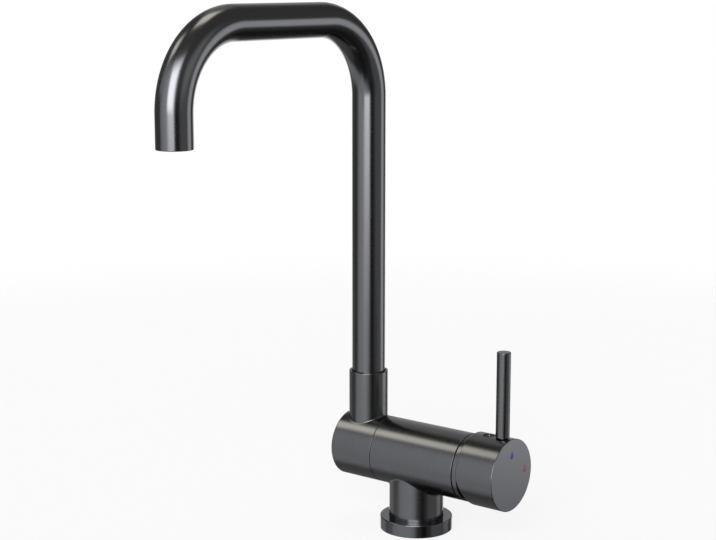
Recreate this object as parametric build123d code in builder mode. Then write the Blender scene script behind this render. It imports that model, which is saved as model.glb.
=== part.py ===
from build123d import *

import os
from math import cos, radians, sin, tan

# Fold-down kitchen mixer, in millimetres, with +Z up. The origin is the centre of the flange's underside.
# X runs along the barrel towards the handle and the spout reaches towards -Y. The carrier, with its collar
# and the spout, folds forward about the barrel's axis.

# Deck flange and stem
flange_diameter = 48.0
flange_height = 8.5
flange_edge = 0.5
stem_diameter = 36.0
stem_seat_depth = 3.0
seat_clearance = 0.1
spigot_diameter = 30.8
spigot_end = 1.5
gasket_inner_diameter = 35.4
gasket_width = 3.6
gasket_height = 1.9

# Two hose threads M10x1 and one stud thread M8 in the stem's foot
hose_thread_radius = 4.5
hose_thread_length = 12.0
hose_spacing = 15.0
hose_offset = 3.5
stud_thread_radius = 3.4
stud_thread_length = 16.0
stud_offset = 8.5

# Barrel
axis_height = 49.4
barrel_diameter = 44.0
body_left = 22.4
body_right = 42.5
body_edge = 0.4
stem_fillet = 2.0

# Waterways
inlet_bore_radius = 2.8
outlet_bore_radius = 2.6
port_circle_radius = 7.2
cold_bore_offset = 11.8
cold_bore_overlap = 3.5
inlet_half_angle = 52.0
cartridge_turn = 45.0

# Fold joint
fold_travel = 90.0
seam_gap = 0.3
carrier_width = 32.5
carrier_end_edge = 1.0
carrier_seam_edge = 0.3
running_clearance = 0.05
thread_clearance = 0.02
journal_diameter = 23.9
journal_recess = 0.2
spindle_thread_diameter = 20.0
spindle_thread_length = 11.0
outlet_chamber = 3.0
spindle_bore_diameter = 11.0
spindle_end_wall = 4.7
spindle_neck_diameter = 16.0
spindle_key = 8.0
spindle_key_depth = 3.0
water_groove_width = 8.0
water_groove_depth = 2.55
water_hole_radius = 2.6
seal_groove_width = 2.6
seal_groove_depth = 1.75
seal_section = 1.74
seal_seat_gap = 0.02
friction_ring_height = 1.5
friction_ring_width = 2.0
friction_ring_clearance = 0.35
friction_pocket_clearance = 0.1
slip_washer_height = 0.8
slip_washer_clearance = 0.5
slip_washer_bore_clearance = 0.1
disc_spring_height = 1.3
disc_spring_sheet = 0.8
disc_spring_diameter = 29.0
disc_spring_bore_clearance = 0.2
circlip_height = 1.1
circlip_play = 0.1
circlip_width = 2.7
circlip_gap = 7.0
circlip_depth = 0.6
circlip_eye_radius = 0.7
circlip_lug_radius = 1.7
neck_tip = 0.3
pocket_diameter = 31.0
cover_thickness = 1.8
cover_diameter = 34.0
cover_clearance = 0.3
cover_skirt_length = 1.0
cover_skirt_wall = 1.0
stop_inset = 4.0
stop_angle = 225.0
stop_pin_diameter = 3.0
stop_pin_seat = 6.0
stop_pin_reach = 3.8
stop_slot_depth = 4.0
stop_clearance = 0.15

# Collar and spout
riser_inset = 17.5
collar_diameter = 26.0
collar_rise = 52.1
collar_fillet = 0.7
collar_outer_edge = 0.4
collar_inner_edge = 0.5
tube_diameter = 22.0
tube_wall = 1.3
tube_edge = 0.3
tube_clearance = 0.3
tube_entry = 10.0
bridge_rise = 285.1
spout_reach = 180.0
outlet_drop = 69.9
bend_radius = 50.0
water_port_radius = 5.0
socket_floor_wall = 3.0
nipple_shoulder = 0.25
nipple_bore_diameter = 13.0
nipple_insert = 13.0
nipple_end_clearance = 0.3
first_seal_height = 4.6
seal_pitch = 7.0
slip_ring_height = 1.5
slip_ring_clearance = 0.1
retainer_height = 18.1
retainer_groove_width = 3.6
retainer_dog_clearance = 0.2
retainer_tip_gap = 0.4
retainer_thread_radius = 2.5
retainer_recess = 0.2
retainer_key = 2.5
retainer_key_depth = 1.5

# Aerator in the outlet
sleeve_inset = 0.8
sleeve_length = 13.2
sleeve_thread_radius = 8.3
sleeve_lip_radius = 7.0
sleeve_lip_height = 2.4
aerator_seal_height = 1.6
aerator_inset = 0.3
aerator_wall = 1.05
aerator_ledge = 0.6
aerator_ledge_height = 0.8
aerator_fit = 0.05
jet_disc_height = 2.2
jet_skirt_wall = 0.7
jet_hole_radius = 0.55
jet_circle_radius = 5.0
jet_count = 16
inner_jet_circle_radius = 2.5
inner_jet_count = 8
screen_height = 1.4
screen_pitch = 1.8
screen_bar = 0.45
screen_rim = 0.9

# Cartridge of the 35 mm size, from its seat towards the handle
chamber_clearance = 0.1
mouth_step = 1.65
mouth_depth = 7.0
shoulder_stand = 0.5
housing_diameter = 34.9
housing_wall = 2.25
shoulder_thickness = 2.6
neck_diameter = 24.8
neck_stand = 0.45
base_flange_thickness = 2.6
base_height = 5.6
base_port_depth = 3.2
peg_radius = 2.2
peg_length = 3.0
peg_circle_radius = 12.4
peg_spread = 145.0
port_seal_radius = 3.3
port_seal_section = 1.3
inlet_port_radius = 2.2
inlet_circle_radius = 5.6
outlet_port_radius = 2.4
outlet_circle_radius = 4.0
fixed_disc_clearance = 0.4
fixed_disc_height = 3.6
disc_gap = 0.02
moving_disc_height = 4.2
moving_disc_inset = 0.1
disc_end_clearance = 0.45
mixing_recess_radius = 3.6
mixing_recess_depth = 2.2
mixing_recess_offset = 3.8
slider_height = 5.4
slider_side_margin = 5.9
slider_end_margin = 6.2
slider_corner = 4.0
slider_lug_radius = 1.4
slider_lug_height = 1.2
slider_lug_inset = 3.0
slider_lug_offset = 3.0
slider_lug_clearance = 0.05
ball_radius = 3.0
ball_web = 0.5
ball_clearance = 0.08
ball_end_clearance = 0.1
rotor_clearance = 0.1
rotor_neck_diameter = 21.0
rotor_flange_clearance = 0.6
rotor_flange_thickness = 6.3
rotor_stand = 1.05
cheek_clearance = 1.2
cheek_setback = 0.5
pivot_depth = 6.0
pivot_pin_diameter = 3.0
pivot_pin_inset = 0.2
stem_neck_radius = 2.2
stem_neck_length = 6.0
stem_tongue = 7.0
stem_square = 8.0
stem_square_stand = 2.2
stem_edge = 0.5
slot_clearance = 0.1
slot_end_clearance = 0.4
nut_bore_clearance = 0.2
nut_thread_clearance = 0.05
nut_corner_clearance = 0.58
nut_front_clearance = 0.65

# Trim ring
trim_gap = 0.6
trim_width = 3.45
trim_spigot_length = 1.6
trim_spigot_clearance = 0.1
trim_spigot_wall = 1.2
trim_front_wall = 1.5
trim_front_hole = 26.0
trim_edge = 0.4

# Handle
handle_tilt = 14.0
relief_angle = 15.0
cap_gap = 0.4
cap_length = 27.25
cap_diameter = 47.0
cap_wall = 3.0
cap_end_wall = 6.0
cap_edge = 1.2
cap_rim_edge = 0.3
cap_rise = 0.5
hub_diameter = 17.0
hub_stand = 2.6
socket_side_clearance = 0.05
socket_end_clearance = 0.5
socket_end_wall = 11.2
grub_inset = 17.2
grub_thread_radius = 2.5
grub_length = 10.0
grub_boss_diameter = 11.0
grub_access_radius = 3.2
grub_key = 2.5
grub_key_depth = 2.5
plug_diameter = 7.5
plug_clearance = 0.1
plug_seat = 1.0
plug_proud = 0.5
plug_dome = 0.35
plug_dome_width = 1.9
plug_shank_length = 4.0
lever_inset = 7.2
lever_diameter = 9.0
lever_rise = 55.8
lever_edge = 0.4
lever_foot_gap = 0.6
lever_neck_radius = 3.2
lever_neck_depth = 1.5
lever_thread_radius = 2.5
lever_thread_length = 9.0
lever_boss_diameter = 13.0
cold_mark_inset = 11.1
hot_mark_inset = 8.3
hot_mark_rise = 0.4
mark_radius = 1.7
mark_tip_rise = 3.1
mark_tip_radius = 0.3
mark_depth = 0.5
mark_clearance = 0.05

os.makedirs("parts", exist_ok=True)

# Radii of the turned surfaces
flange_radius = flange_diameter / 2
stem_radius = stem_diameter / 2
spigot_radius = spigot_diameter / 2
barrel_radius = barrel_diameter / 2
journal_radius = journal_diameter / 2
carrier_bore_radius = journal_radius + running_clearance
spindle_socket_radius = spindle_thread_diameter / 2
spindle_neck_radius = spindle_neck_diameter / 2
friction_ring_inner = journal_radius + friction_ring_clearance
friction_ring_outer = friction_ring_inner + friction_ring_width
pocket_radius = pocket_diameter / 2
cover_seat_radius = cover_diameter / 2
stop_radius = barrel_radius - stop_inset
collar_radius = collar_diameter / 2
tube_radius = tube_diameter / 2
tube_bore_radius = tube_radius - tube_wall
tube_entry_radius = tube_radius + tube_clearance
nipple_radius = tube_bore_radius + nipple_shoulder
socket_radius = nipple_radius + running_clearance
housing_radius = housing_diameter / 2
housing_bore_radius = housing_radius - housing_wall
rotor_neck_radius = rotor_neck_diameter / 2
chamber_radius = housing_radius + chamber_clearance
mouth_radius = chamber_radius + mouth_step
trim_spigot_radius = mouth_radius - trim_spigot_clearance
trim_cavity_radius = trim_spigot_radius - trim_spigot_wall
nut_across_flats = 2 * (trim_cavity_radius - nut_corner_clearance) * cos(radians(30))
slider_width = 2 * (housing_bore_radius - slider_side_margin)
slider_length = 2 * (housing_bore_radius - slider_end_margin)
cheek_radius = housing_bore_radius - cheek_clearance
cap_radius = cap_diameter / 2
lever_radius = lever_diameter / 2
plug_radius = plug_diameter / 2
cold_mark_place = (0.0, cap_radius - cold_mark_inset)
hot_mark_place = (cap_radius - hot_mark_inset, hot_mark_rise)

# Stations along X, counted from the stem's axis
carrier_right_x = -body_left - seam_gap
carrier_left_x = carrier_right_x - carrier_width
riser_x = carrier_right_x - riser_inset
friction_floor_x = -body_left - friction_ring_height
cover_x = carrier_left_x + cover_thickness
spindle_end_x = cover_x + cover_clearance
circlip_groove_x = spindle_end_x + neck_tip
spring_x = circlip_groove_x + circlip_height + circlip_play
slip_washer_x = spring_x + disc_spring_height
pocket_x = slip_washer_x + slip_washer_height
journal_end_x = pocket_x + journal_recess
groove_left_x = riser_x - water_groove_width / 2
groove_right_x = riser_x + water_groove_width / 2
fold_seal_stations = [(friction_floor_x + groove_right_x) / 2, (groove_left_x + pocket_x) / 2]
ring_back_x = body_right + trim_gap
ring_front_x = ring_back_x + trim_width
ring_wall_x = ring_front_x - trim_front_wall
cap_rim_x = ring_front_x + cap_gap
cap_face_x = cap_rim_x + cap_length

# Stations of the cartridge's pieces
slide_stack = base_height + fixed_disc_height + disc_gap + moving_disc_height + slider_height
rotor_stack = 2 * rotor_clearance + rotor_flange_thickness + rotor_clearance
mouth_x = body_right - mouth_depth
shoulder_x = mouth_x + shoulder_stand
seat_x = shoulder_x - shoulder_thickness - rotor_stack - slide_stack
fixed_disc_x = seat_x + base_height
moving_disc_x = fixed_disc_x + fixed_disc_height + disc_gap
slider_x = moving_disc_x + moving_disc_height
rotor_x = slider_x + slider_height + 2 * rotor_clearance
rotor_front_x = cap_rim_x + rotor_stand
pivot_x = rotor_front_x - pivot_depth
ball_x = slider_x + ball_web + ball_end_clearance + ball_radius
nut_front_x = body_right - trim_spigot_length

# The lever's tilt swings the ball sideways, which slides the moving disc
tilt_sine = sin(radians(handle_tilt))
tilt_cosine = cos(radians(handle_tilt))
disc_travel = (pivot_x - ball_x) * tilt_sine
slot_rise = disc_travel + ball_radius + slot_clearance
slot_drop = (stem_tongue / 2 + pivot_depth * tilt_sine) / tilt_cosine + slot_end_clearance

# Stations of the handle's pieces
hub_x = rotor_front_x + hub_stand
socket_end_x = cap_face_x - socket_end_wall
stem_end_x = socket_end_x - socket_end_clearance
grub_x = cap_face_x - grub_inset
lever_x = cap_face_x - lever_inset

# Heights above the deck
stem_foot_z = flange_height - stem_seat_depth
collar_top_z = axis_height + collar_rise
entry_floor_z = collar_top_z - tube_entry
tube_foot_z = entry_floor_z + slip_ring_height
socket_floor_z = axis_height + pocket_radius + socket_floor_wall
nipple_foot_z = socket_floor_z + nipple_end_clearance
first_seal_z = socket_floor_z + first_seal_height
retainer_z = socket_floor_z + retainer_height
bridge_z = axis_height + bridge_rise
outlet_z = bridge_z - outlet_drop
cap_axis_z = axis_height + cap_rise
cap_crest_z = cap_axis_z + cap_radius
socket_top_z = axis_height + stem_square / 2
grub_top_z = socket_top_z + grub_length
plug_seat_z = cap_crest_z - plug_seat
lever_seat_z = cap_crest_z - lever_neck_depth
lever_foot_z = cap_crest_z + lever_foot_gap
lever_top_z = cap_crest_z + lever_rise

barrel_axis = Axis((0, 0, axis_height), (1, 0, 0))
lengthwise = Plane(origin=(0, 0, axis_height), x_dir=(1, 0, 0), z_dir=(0, -1, 0))


def station(x, height=axis_height):
    """Plane square to the barrel at a station along X. Its local x is +Y and its local y is up."""
    return Plane(origin=(x, 0, height), x_dir=(0, 1, 0), z_dir=(1, 0, 0))


def level(z, x=0.0, y=0.0):
    """Level plane at a height, centred on x and y."""
    return Plane(origin=(x, y, z))


def around(radius, angle):
    """Place on a station plane, at an angle from the top towards the front."""
    return (-radius * sin(radians(angle)), radius * cos(radians(angle)))


def disc(plane, radius, length, mode=Mode.ADD, at=((0, 0),)):
    """Cylinder from a plane along its normal, or one at each of several places."""
    with BuildSketch(plane) as section:
        with Locations(*at):
            Circle(radius)
    extrude(section.sketch, amount=length, mode=mode)


def ring(plane, outer, inner, length, mode=Mode.ADD):
    """Ring from a plane along its normal."""
    with BuildSketch(plane) as section:
        Circle(outer)
        Circle(inner, mode=Mode.SUBTRACT)
    extrude(section.sketch, amount=length, mode=mode)


def hexagon(plane, across_flats, length, mode=Mode.ADD):
    """Hexagonal prism from a plane along its normal."""
    with BuildSketch(plane) as section:
        RegularPolygon(across_flats / 2, 6, major_radius=False)
    extrude(section.sketch, amount=length, mode=mode)


def bar(plane, width, height, length, mode=Mode.ADD):
    """Rectangular bar from a plane along its normal."""
    with BuildSketch(plane) as section:
        Rectangle(width, height)
    extrude(section.sketch, amount=length, mode=mode)


def turned(points, plane=lengthwise, axis=barrel_axis, mode=Mode.ADD):
    """Turns an outline about an axis that lies in its plane."""
    with BuildSketch(plane) as section:
        with BuildLine():
            Polyline(*points, close=True)
        make_face()
    revolve(section.sketch, axis=axis, mode=mode)


def seal_rings(planes, floor_radius):
    """O-rings that lie on the floor of their grooves."""
    with Locations(*planes):
        Torus(floor_radius + seal_seat_gap + seal_section / 2, seal_section / 2)


def drop_mark(place, grow, mode=Mode.ADD):
    """Drop let into the handle's end face, larger by a clearance where it is the pocket."""
    with BuildSketch(station(cap_face_x, cap_axis_z)) as outline:
        with Locations(place):
            Circle(mark_radius + grow)
        with Locations((place[0], place[1] + mark_tip_rise)):
            Circle(mark_tip_radius + grow)
        make_hull()
    extrude(outline.sketch, amount=-mark_depth, mode=mode)


# Ports in the floor of the cartridge chamber
cold_port = around(port_circle_radius, cartridge_turn - inlet_half_angle)
hot_port = around(port_circle_radius, cartridge_turn + inlet_half_angle)
outlet_port = around(port_circle_radius, cartridge_turn + 180)
seat_ports = [cold_port, hot_port, outlet_port]
# The same ports where they meet the discs
disc_inlets = [around(inlet_circle_radius, cartridge_turn + side * inlet_half_angle) for side in (-1, 1)]
disc_outlet = [around(outlet_circle_radius, cartridge_turn + 180)]
# Two pegs, unevenly spread, let the cartridge in one way round only
peg_places = [around(peg_circle_radius, cartridge_turn + turn) for turn in (0, peg_spread)]
stop_place = around(stop_radius, stop_angle)

# Deck flange: a turned ring with a seat for the stem's foot and a groove for the gasket
gasket_inner = gasket_inner_diameter / 2
gasket_outer = gasket_inner + gasket_width
with BuildPart() as base_flange:
    ring(level(0), flange_radius, spigot_radius + seat_clearance, flange_height)
    disc(level(stem_foot_z), stem_radius + seat_clearance, stem_seat_depth, Mode.SUBTRACT)
    ring(level(0), gasket_outer, gasket_inner, gasket_height, Mode.SUBTRACT)
    top_rims = base_flange.edges().filter_by(GeomType.CIRCLE).group_by(Axis.Z)[-1]
    chamfer(top_rims.sort_by(SortBy.RADIUS)[-1], flange_edge)
base_flange.part.label = "base_flange"
export_step(base_flange.part, "parts/base_flange.step")

with BuildPart() as deck_gasket:
    ring(level(0), gasket_outer - seat_clearance, gasket_inner + seat_clearance, gasket_height)
deck_gasket.part.label = "deck_gasket"
export_step(deck_gasket.part, "parts/deck_gasket.step")

# Mixer body: one casting of stem and barrel, drilled for the cartridge, the fold spindle and the water
hose_end_z = spigot_end + hose_thread_length
with BuildPart() as mixer_body:
    disc(station(-body_left), barrel_radius, body_left + body_right)
    disc(level(stem_foot_z), stem_radius, axis_height - stem_foot_z)
    curved = mixer_body.edges().filter_by(GeomType.CIRCLE, reverse=True)
    fillet(curved.filter_by(GeomType.LINE, reverse=True), stem_fillet)
    end_rims = mixer_body.edges().filter_by(GeomType.CIRCLE).sort_by(Axis.X)
    chamfer([end_rims[0], end_rims[-1]], body_edge)
    disc(level(spigot_end), spigot_radius, stem_foot_z - spigot_end)
    # Cartridge chamber and its wider threaded mouth
    disc(station(seat_x), chamber_radius, body_right - seat_x, Mode.SUBTRACT)
    disc(station(mouth_x), mouth_radius, mouth_depth, Mode.SUBTRACT)
    # Socket of the fold spindle, with the space that the mixed water enters
    disc(station(-body_left), spindle_socket_radius, spindle_thread_length + outlet_chamber, Mode.SUBTRACT)
    outlet_bore_length = seat_x + body_left - spindle_thread_length
    disc(station(seat_x), outlet_bore_radius, -outlet_bore_length, Mode.SUBTRACT, [outlet_port])
    # Seats of the cartridge's pegs
    peg_seat_depth = peg_length + seat_clearance
    disc(station(seat_x), peg_radius + seat_clearance, -peg_seat_depth, Mode.SUBTRACT, peg_places)
    # Hose threads and stud thread
    hose_places = [(hose_offset, hose_spacing / 2), (hose_offset, -hose_spacing / 2)]
    disc(level(spigot_end), hose_thread_radius, hose_thread_length, Mode.SUBTRACT, hose_places)
    disc(level(spigot_end), stud_thread_radius, stud_thread_length, Mode.SUBTRACT, [(-stud_offset, 0)])
    # Hot water rises in front and turns into its port
    hot_rise = level(hose_end_z, hose_offset, hot_port[0])
    disc(hot_rise, inlet_bore_radius, axis_height + hot_port[1] - hose_end_z, Mode.SUBTRACT)
    # Cold water rises at the back, crosses above the outlet bore and turns into its port
    cold_start_z = hose_end_z - cold_bore_overlap
    cold_top_z = axis_height + cold_port[1]
    cold_rise = level(cold_start_z, hose_offset, cold_bore_offset)
    disc(cold_rise, inlet_bore_radius, cold_top_z - cold_start_z, Mode.SUBTRACT)
    cold_turn = Plane(origin=(hose_offset, cold_bore_offset, cold_top_z), x_dir=(1, 0, 0), z_dir=(0, -1, 0))
    disc(cold_turn, inlet_bore_radius, cold_bore_offset - cold_port[0], Mode.SUBTRACT)
    disc(station(hose_offset), inlet_bore_radius, seat_x - hose_offset, Mode.SUBTRACT, [cold_port, hot_port])
    # Hole of the stop pin
    disc(station(-body_left), stop_pin_diameter / 2, stop_pin_seat, Mode.SUBTRACT, [stop_place])
mixer_body.part.label = "mixer_body"
export_step(mixer_body.part, "parts/mixer_body.step")

# Fold spindle: screwed into the body, hollow, and the journal that the carrier turns on
groove_floor_radius = journal_radius - seal_groove_depth
circlip_floor_radius = spindle_neck_radius - circlip_depth
spindle_thread_end_x = -body_left + spindle_thread_length
with BuildPart() as fold_spindle:
    disc(station(-body_left), spindle_socket_radius - running_clearance, spindle_thread_length)
    disc(station(journal_end_x), journal_radius, -body_left - journal_end_x)
    disc(station(spindle_end_x), spindle_neck_radius, journal_end_x - spindle_end_x)
    water_floor_radius = journal_radius - water_groove_depth
    ring(station(groove_left_x), journal_radius, water_floor_radius, water_groove_width, Mode.SUBTRACT)
    for seal_x in fold_seal_stations:
        seal_groove = station(seal_x - seal_groove_width / 2)
        ring(seal_groove, journal_radius, groove_floor_radius, seal_groove_width, Mode.SUBTRACT)
    circlip_groove = station(circlip_groove_x)
    circlip_groove_width = circlip_height + circlip_play
    ring(circlip_groove, spindle_neck_radius, circlip_floor_radius, circlip_groove_width, Mode.SUBTRACT)
    spindle_bore = station(journal_end_x + spindle_end_wall)
    spindle_bore_length = spindle_thread_end_x - journal_end_x - spindle_end_wall
    disc(spindle_bore, spindle_bore_diameter / 2, spindle_bore_length, Mode.SUBTRACT)
    hexagon(station(spindle_end_x), spindle_key, spindle_key_depth, Mode.SUBTRACT)
    # Two crossing holes let the mixed water out of the bore into the groove, below the riser
    disc(level(axis_height - journal_radius, riser_x), water_hole_radius, journal_diameter, Mode.SUBTRACT)
    crossing = Plane(origin=(riser_x, -journal_radius, axis_height), x_dir=(1, 0, 0), z_dir=(0, 1, 0))
    disc(crossing, water_hole_radius, journal_diameter, Mode.SUBTRACT)
fold_spindle.part.label = "fold_spindle"
export_step(fold_spindle.part, "parts/fold_spindle.step")

with BuildPart() as fold_o_rings:
    seal_rings([station(seal_x) for seal_x in fold_seal_stations], groove_floor_radius)
fold_o_rings.part.label = "fold_o_rings"
export_step(fold_o_rings.part, "parts/fold_o_rings.step")

# Friction ring between the body's end and the carrier: it keeps the seam open and holds the fold where it is
with BuildPart() as fold_friction_ring:
    ring(station(friction_floor_x), friction_ring_outer, friction_ring_inner, friction_ring_height)
fold_friction_ring.part.label = "fold_friction_ring"
export_step(fold_friction_ring.part, "parts/fold_friction_ring.step")

with BuildPart() as fold_stop_pin:
    stop_pin_tip = station(-body_left - stop_pin_reach)
    disc(stop_pin_tip, stop_pin_diameter / 2, stop_pin_reach + stop_pin_seat, at=[stop_place])
fold_stop_pin.part.label = "fold_stop_pin"
export_step(fold_stop_pin.part, "parts/fold_stop_pin.step")

with BuildPart() as fold_slip_washer:
    slip_outer = pocket_radius - slip_washer_clearance
    slip_inner = spindle_neck_radius + slip_washer_bore_clearance
    ring(station(slip_washer_x), slip_outer, slip_inner, slip_washer_height)
fold_slip_washer.part.label = "fold_slip_washer"
export_step(fold_slip_washer.part, "parts/fold_slip_washer.step")

# Disc spring: a coned ring that presses the carrier against the friction ring
with BuildPart() as fold_disc_spring:
    spring_inner = spindle_neck_radius + disc_spring_bore_clearance
    spring_outer = disc_spring_diameter / 2
    turned(
        [
            (spring_x, spring_inner),
            (spring_x + disc_spring_sheet, spring_inner),
            (slip_washer_x, spring_outer),
            (slip_washer_x - disc_spring_sheet, spring_outer),
        ]
    )
fold_disc_spring.part.label = "fold_disc_spring"
export_step(fold_disc_spring.part, "parts/fold_disc_spring.step")

with BuildPart() as fold_circlip:
    clip_inner = circlip_floor_radius + running_clearance
    lug_offset = circlip_gap / 2 + circlip_lug_radius / 2
    lug_drop = clip_inner + circlip_width / 2
    lugs = [(side * lug_offset, -lug_drop) for side in (-1, 1)]
    with BuildSketch(station(spring_x)):
        Circle(clip_inner + circlip_width)
        with Locations((0, -lug_drop)):
            Rectangle(circlip_gap, 2 * circlip_width, mode=Mode.SUBTRACT)
        with Locations(*lugs):
            Circle(circlip_lug_radius)
        Circle(clip_inner, mode=Mode.SUBTRACT)
        with Locations(*lugs):
            Circle(circlip_eye_radius, mode=Mode.SUBTRACT)
    extrude(amount=-circlip_height)
fold_circlip.part.label = "fold_circlip"
export_step(fold_circlip.part, "parts/fold_circlip.step")

# Way of the stop pin in the carrier, from the raised spout to the folded one
with BuildLine() as stop_run:
    CenterArc((0, 0), stop_radius, 90 + stop_angle - fold_travel, fold_travel)

# Spout carrier: the left part of the barrel, which turns on the spindle, with the collar that holds the spout
with BuildPart() as spout_carrier:
    disc(station(carrier_left_x), barrel_radius, carrier_width)
    disc(level(axis_height, riser_x), collar_radius, collar_rise)
    curved = spout_carrier.edges().filter_by(GeomType.CIRCLE, reverse=True)
    fillet(curved.filter_by(GeomType.LINE, reverse=True), collar_fillet)
    end_rims = spout_carrier.edges().filter_by(GeomType.CIRCLE)
    chamfer(end_rims.sort_by(Axis.X)[0], carrier_end_edge)
    chamfer(end_rims.sort_by(Axis.X)[-1], carrier_seam_edge)
    # Bore for the spindle, seat of the friction ring, and the slot that the stop pin runs in
    disc(station(carrier_left_x), carrier_bore_radius, carrier_width, Mode.SUBTRACT)
    friction_seat_depth = friction_ring_height - seam_gap
    friction_seat_radius = friction_ring_outer + friction_pocket_clearance
    disc(station(carrier_right_x), friction_seat_radius, -friction_seat_depth, Mode.SUBTRACT)
    with BuildSketch(station(carrier_right_x)):
        SlotArc(stop_run.edge(), stop_pin_diameter + 2 * stop_clearance)
    extrude(amount=-stop_slot_depth, mode=Mode.SUBTRACT)
    # Pocket of the spring stack and seat of the end cover
    disc(station(carrier_left_x), pocket_radius, pocket_x - carrier_left_x, Mode.SUBTRACT)
    disc(station(carrier_left_x), cover_seat_radius, cover_thickness, Mode.SUBTRACT)
    # Socket of the spout's nipple, wider where the tube enters, and the port up from the bore
    disc(level(axis_height, riser_x), water_port_radius, collar_rise, Mode.SUBTRACT)
    disc(level(socket_floor_z, riser_x), socket_radius, collar_top_z - socket_floor_z, Mode.SUBTRACT)
    disc(level(entry_floor_z, riser_x), tube_entry_radius, tube_entry, Mode.SUBTRACT)
    top_rims = spout_carrier.edges().filter_by(GeomType.CIRCLE).group_by(Axis.Z)[-1].sort_by(SortBy.RADIUS)
    chamfer(top_rims[0], collar_inner_edge)
    chamfer(top_rims[-1], collar_outer_edge)
    # Threaded hole of the retaining screw, in the back of the collar
    retainer_wall = Plane(origin=(riser_x, collar_radius, retainer_z), x_dir=(1, 0, 0), z_dir=(0, -1, 0))
    disc(retainer_wall, retainer_thread_radius, collar_radius, Mode.SUBTRACT)
spout_carrier.part.label = "spout_carrier"
export_step(spout_carrier.part, "parts/spout_carrier.step")

with BuildPart() as end_cover:
    disc(station(carrier_left_x), cover_seat_radius - running_clearance, cover_thickness)
    skirt_outer = pocket_radius - seat_clearance
    ring(station(cover_x), skirt_outer, skirt_outer - cover_skirt_wall, cover_skirt_length)
end_cover.part.label = "end_cover"
export_step(end_cover.part, "parts/end_cover.step")

# Nipple soldered into the tube's foot: it turns and seals in the collar's socket
nipple_floor_radius = nipple_radius - seal_groove_depth
nipple_seal_heights = [first_seal_z, first_seal_z + seal_pitch]
with BuildPart() as spout_nipple:
    disc(level(nipple_foot_z, riser_x), nipple_radius, tube_foot_z - nipple_foot_z)
    disc(level(tube_foot_z, riser_x), tube_bore_radius - thread_clearance, nipple_insert)
    for seal_z in nipple_seal_heights:
        seal_groove = level(seal_z - seal_groove_width / 2, riser_x)
        ring(seal_groove, nipple_radius, nipple_floor_radius, seal_groove_width, Mode.SUBTRACT)
    retainer_groove = level(retainer_z - retainer_groove_width / 2, riser_x)
    ring(retainer_groove, nipple_radius, nipple_floor_radius, retainer_groove_width, Mode.SUBTRACT)
    nipple_length = tube_foot_z + nipple_insert - nipple_foot_z
    disc(level(nipple_foot_z, riser_x), nipple_bore_diameter / 2, nipple_length, Mode.SUBTRACT)
spout_nipple.part.label = "spout_nipple"
export_step(spout_nipple.part, "parts/spout_nipple.step")

with BuildPart() as spout_o_rings:
    seal_rings([level(seal_z, riser_x) for seal_z in nipple_seal_heights], nipple_floor_radius)
spout_o_rings.part.label = "spout_o_rings"
export_step(spout_o_rings.part, "parts/spout_o_rings.step")

with BuildPart() as spout_slip_ring:
    slip_ring_inner = nipple_radius + slip_ring_clearance
    slip_ring_outer = tube_entry_radius - slip_ring_clearance
    ring(level(entry_floor_z, riser_x), slip_ring_outer, slip_ring_inner, slip_ring_height)
spout_slip_ring.part.label = "spout_slip_ring"
export_step(spout_slip_ring.part, "parts/spout_slip_ring.step")

# Retaining screw: its dog runs in the nipple's groove, so the spout turns but can't lift out
with BuildPart() as spout_retaining_screw:
    dog_radius = retainer_groove_width / 2 - retainer_dog_clearance
    dog_tip_y = nipple_floor_radius + retainer_tip_gap
    thread_start_y = socket_radius + retainer_recess
    thread_end_y = collar_radius - retainer_recess
    screw_tip = Plane(origin=(riser_x, dog_tip_y, retainer_z), x_dir=(1, 0, 0), z_dir=(0, 1, 0))
    disc(screw_tip, dog_radius, thread_start_y - dog_tip_y)
    screw_body = screw_tip.offset(thread_start_y - dog_tip_y)
    disc(screw_body, retainer_thread_radius - thread_clearance, thread_end_y - thread_start_y)
    screw_face = screw_tip.offset(thread_end_y - dog_tip_y)
    hexagon(screw_face, retainer_key, -retainer_key_depth, Mode.SUBTRACT)
spout_retaining_screw.part.label = "spout_retaining_screw"
export_step(spout_retaining_screw.part, "parts/spout_retaining_screw.step")

# Spout: one bent tube
with BuildPart() as spout_tube:
    with BuildLine(Plane.YZ.offset(riser_x)) as route:
        FilletPolyline(
            (0, tube_foot_z),
            (0, bridge_z),
            (-spout_reach, bridge_z),
            (-spout_reach, outlet_z),
            radius=bend_radius,
        )
    with BuildSketch(level(tube_foot_z, riser_x)):
        Circle(tube_radius)
        Circle(tube_bore_radius, mode=Mode.SUBTRACT)
    sweep(path=route.line)
    outlet_rims = spout_tube.edges().filter_by(GeomType.CIRCLE).group_by(Axis.Y)[0].sort_by(SortBy.RADIUS)
    chamfer(outlet_rims.filter_by(lambda rim: rim.center().Z < outlet_z + tube_edge), tube_edge)
spout_tube.part.label = "spout_tube"
export_step(spout_tube.part, "parts/spout_tube.step")

# Aerator: a threaded sleeve soldered into the outlet, and the housing screwed up into it against a flat seal
sleeve_z = outlet_z + sleeve_inset
lip_z = sleeve_z + sleeve_length - sleeve_lip_height
aerator_seal_z = lip_z - aerator_seal_height
aerator_z = outlet_z + aerator_inset
aerator_radius = sleeve_thread_radius - running_clearance
aerator_bore_radius = aerator_radius - aerator_wall
insert_radius = aerator_bore_radius - aerator_fit
screen_z = aerator_z + aerator_ledge_height
jet_disc_z = aerator_seal_z - jet_disc_height
with BuildPart() as aerator_sleeve:
    sleeve_foot = level(sleeve_z, riser_x, -spout_reach)
    ring(sleeve_foot, tube_bore_radius - thread_clearance, sleeve_thread_radius, sleeve_length)
    sleeve_lip = level(lip_z, riser_x, -spout_reach)
    ring(sleeve_lip, tube_bore_radius - thread_clearance, sleeve_lip_radius, sleeve_lip_height)
aerator_sleeve.part.label = "aerator_sleeve"
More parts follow.
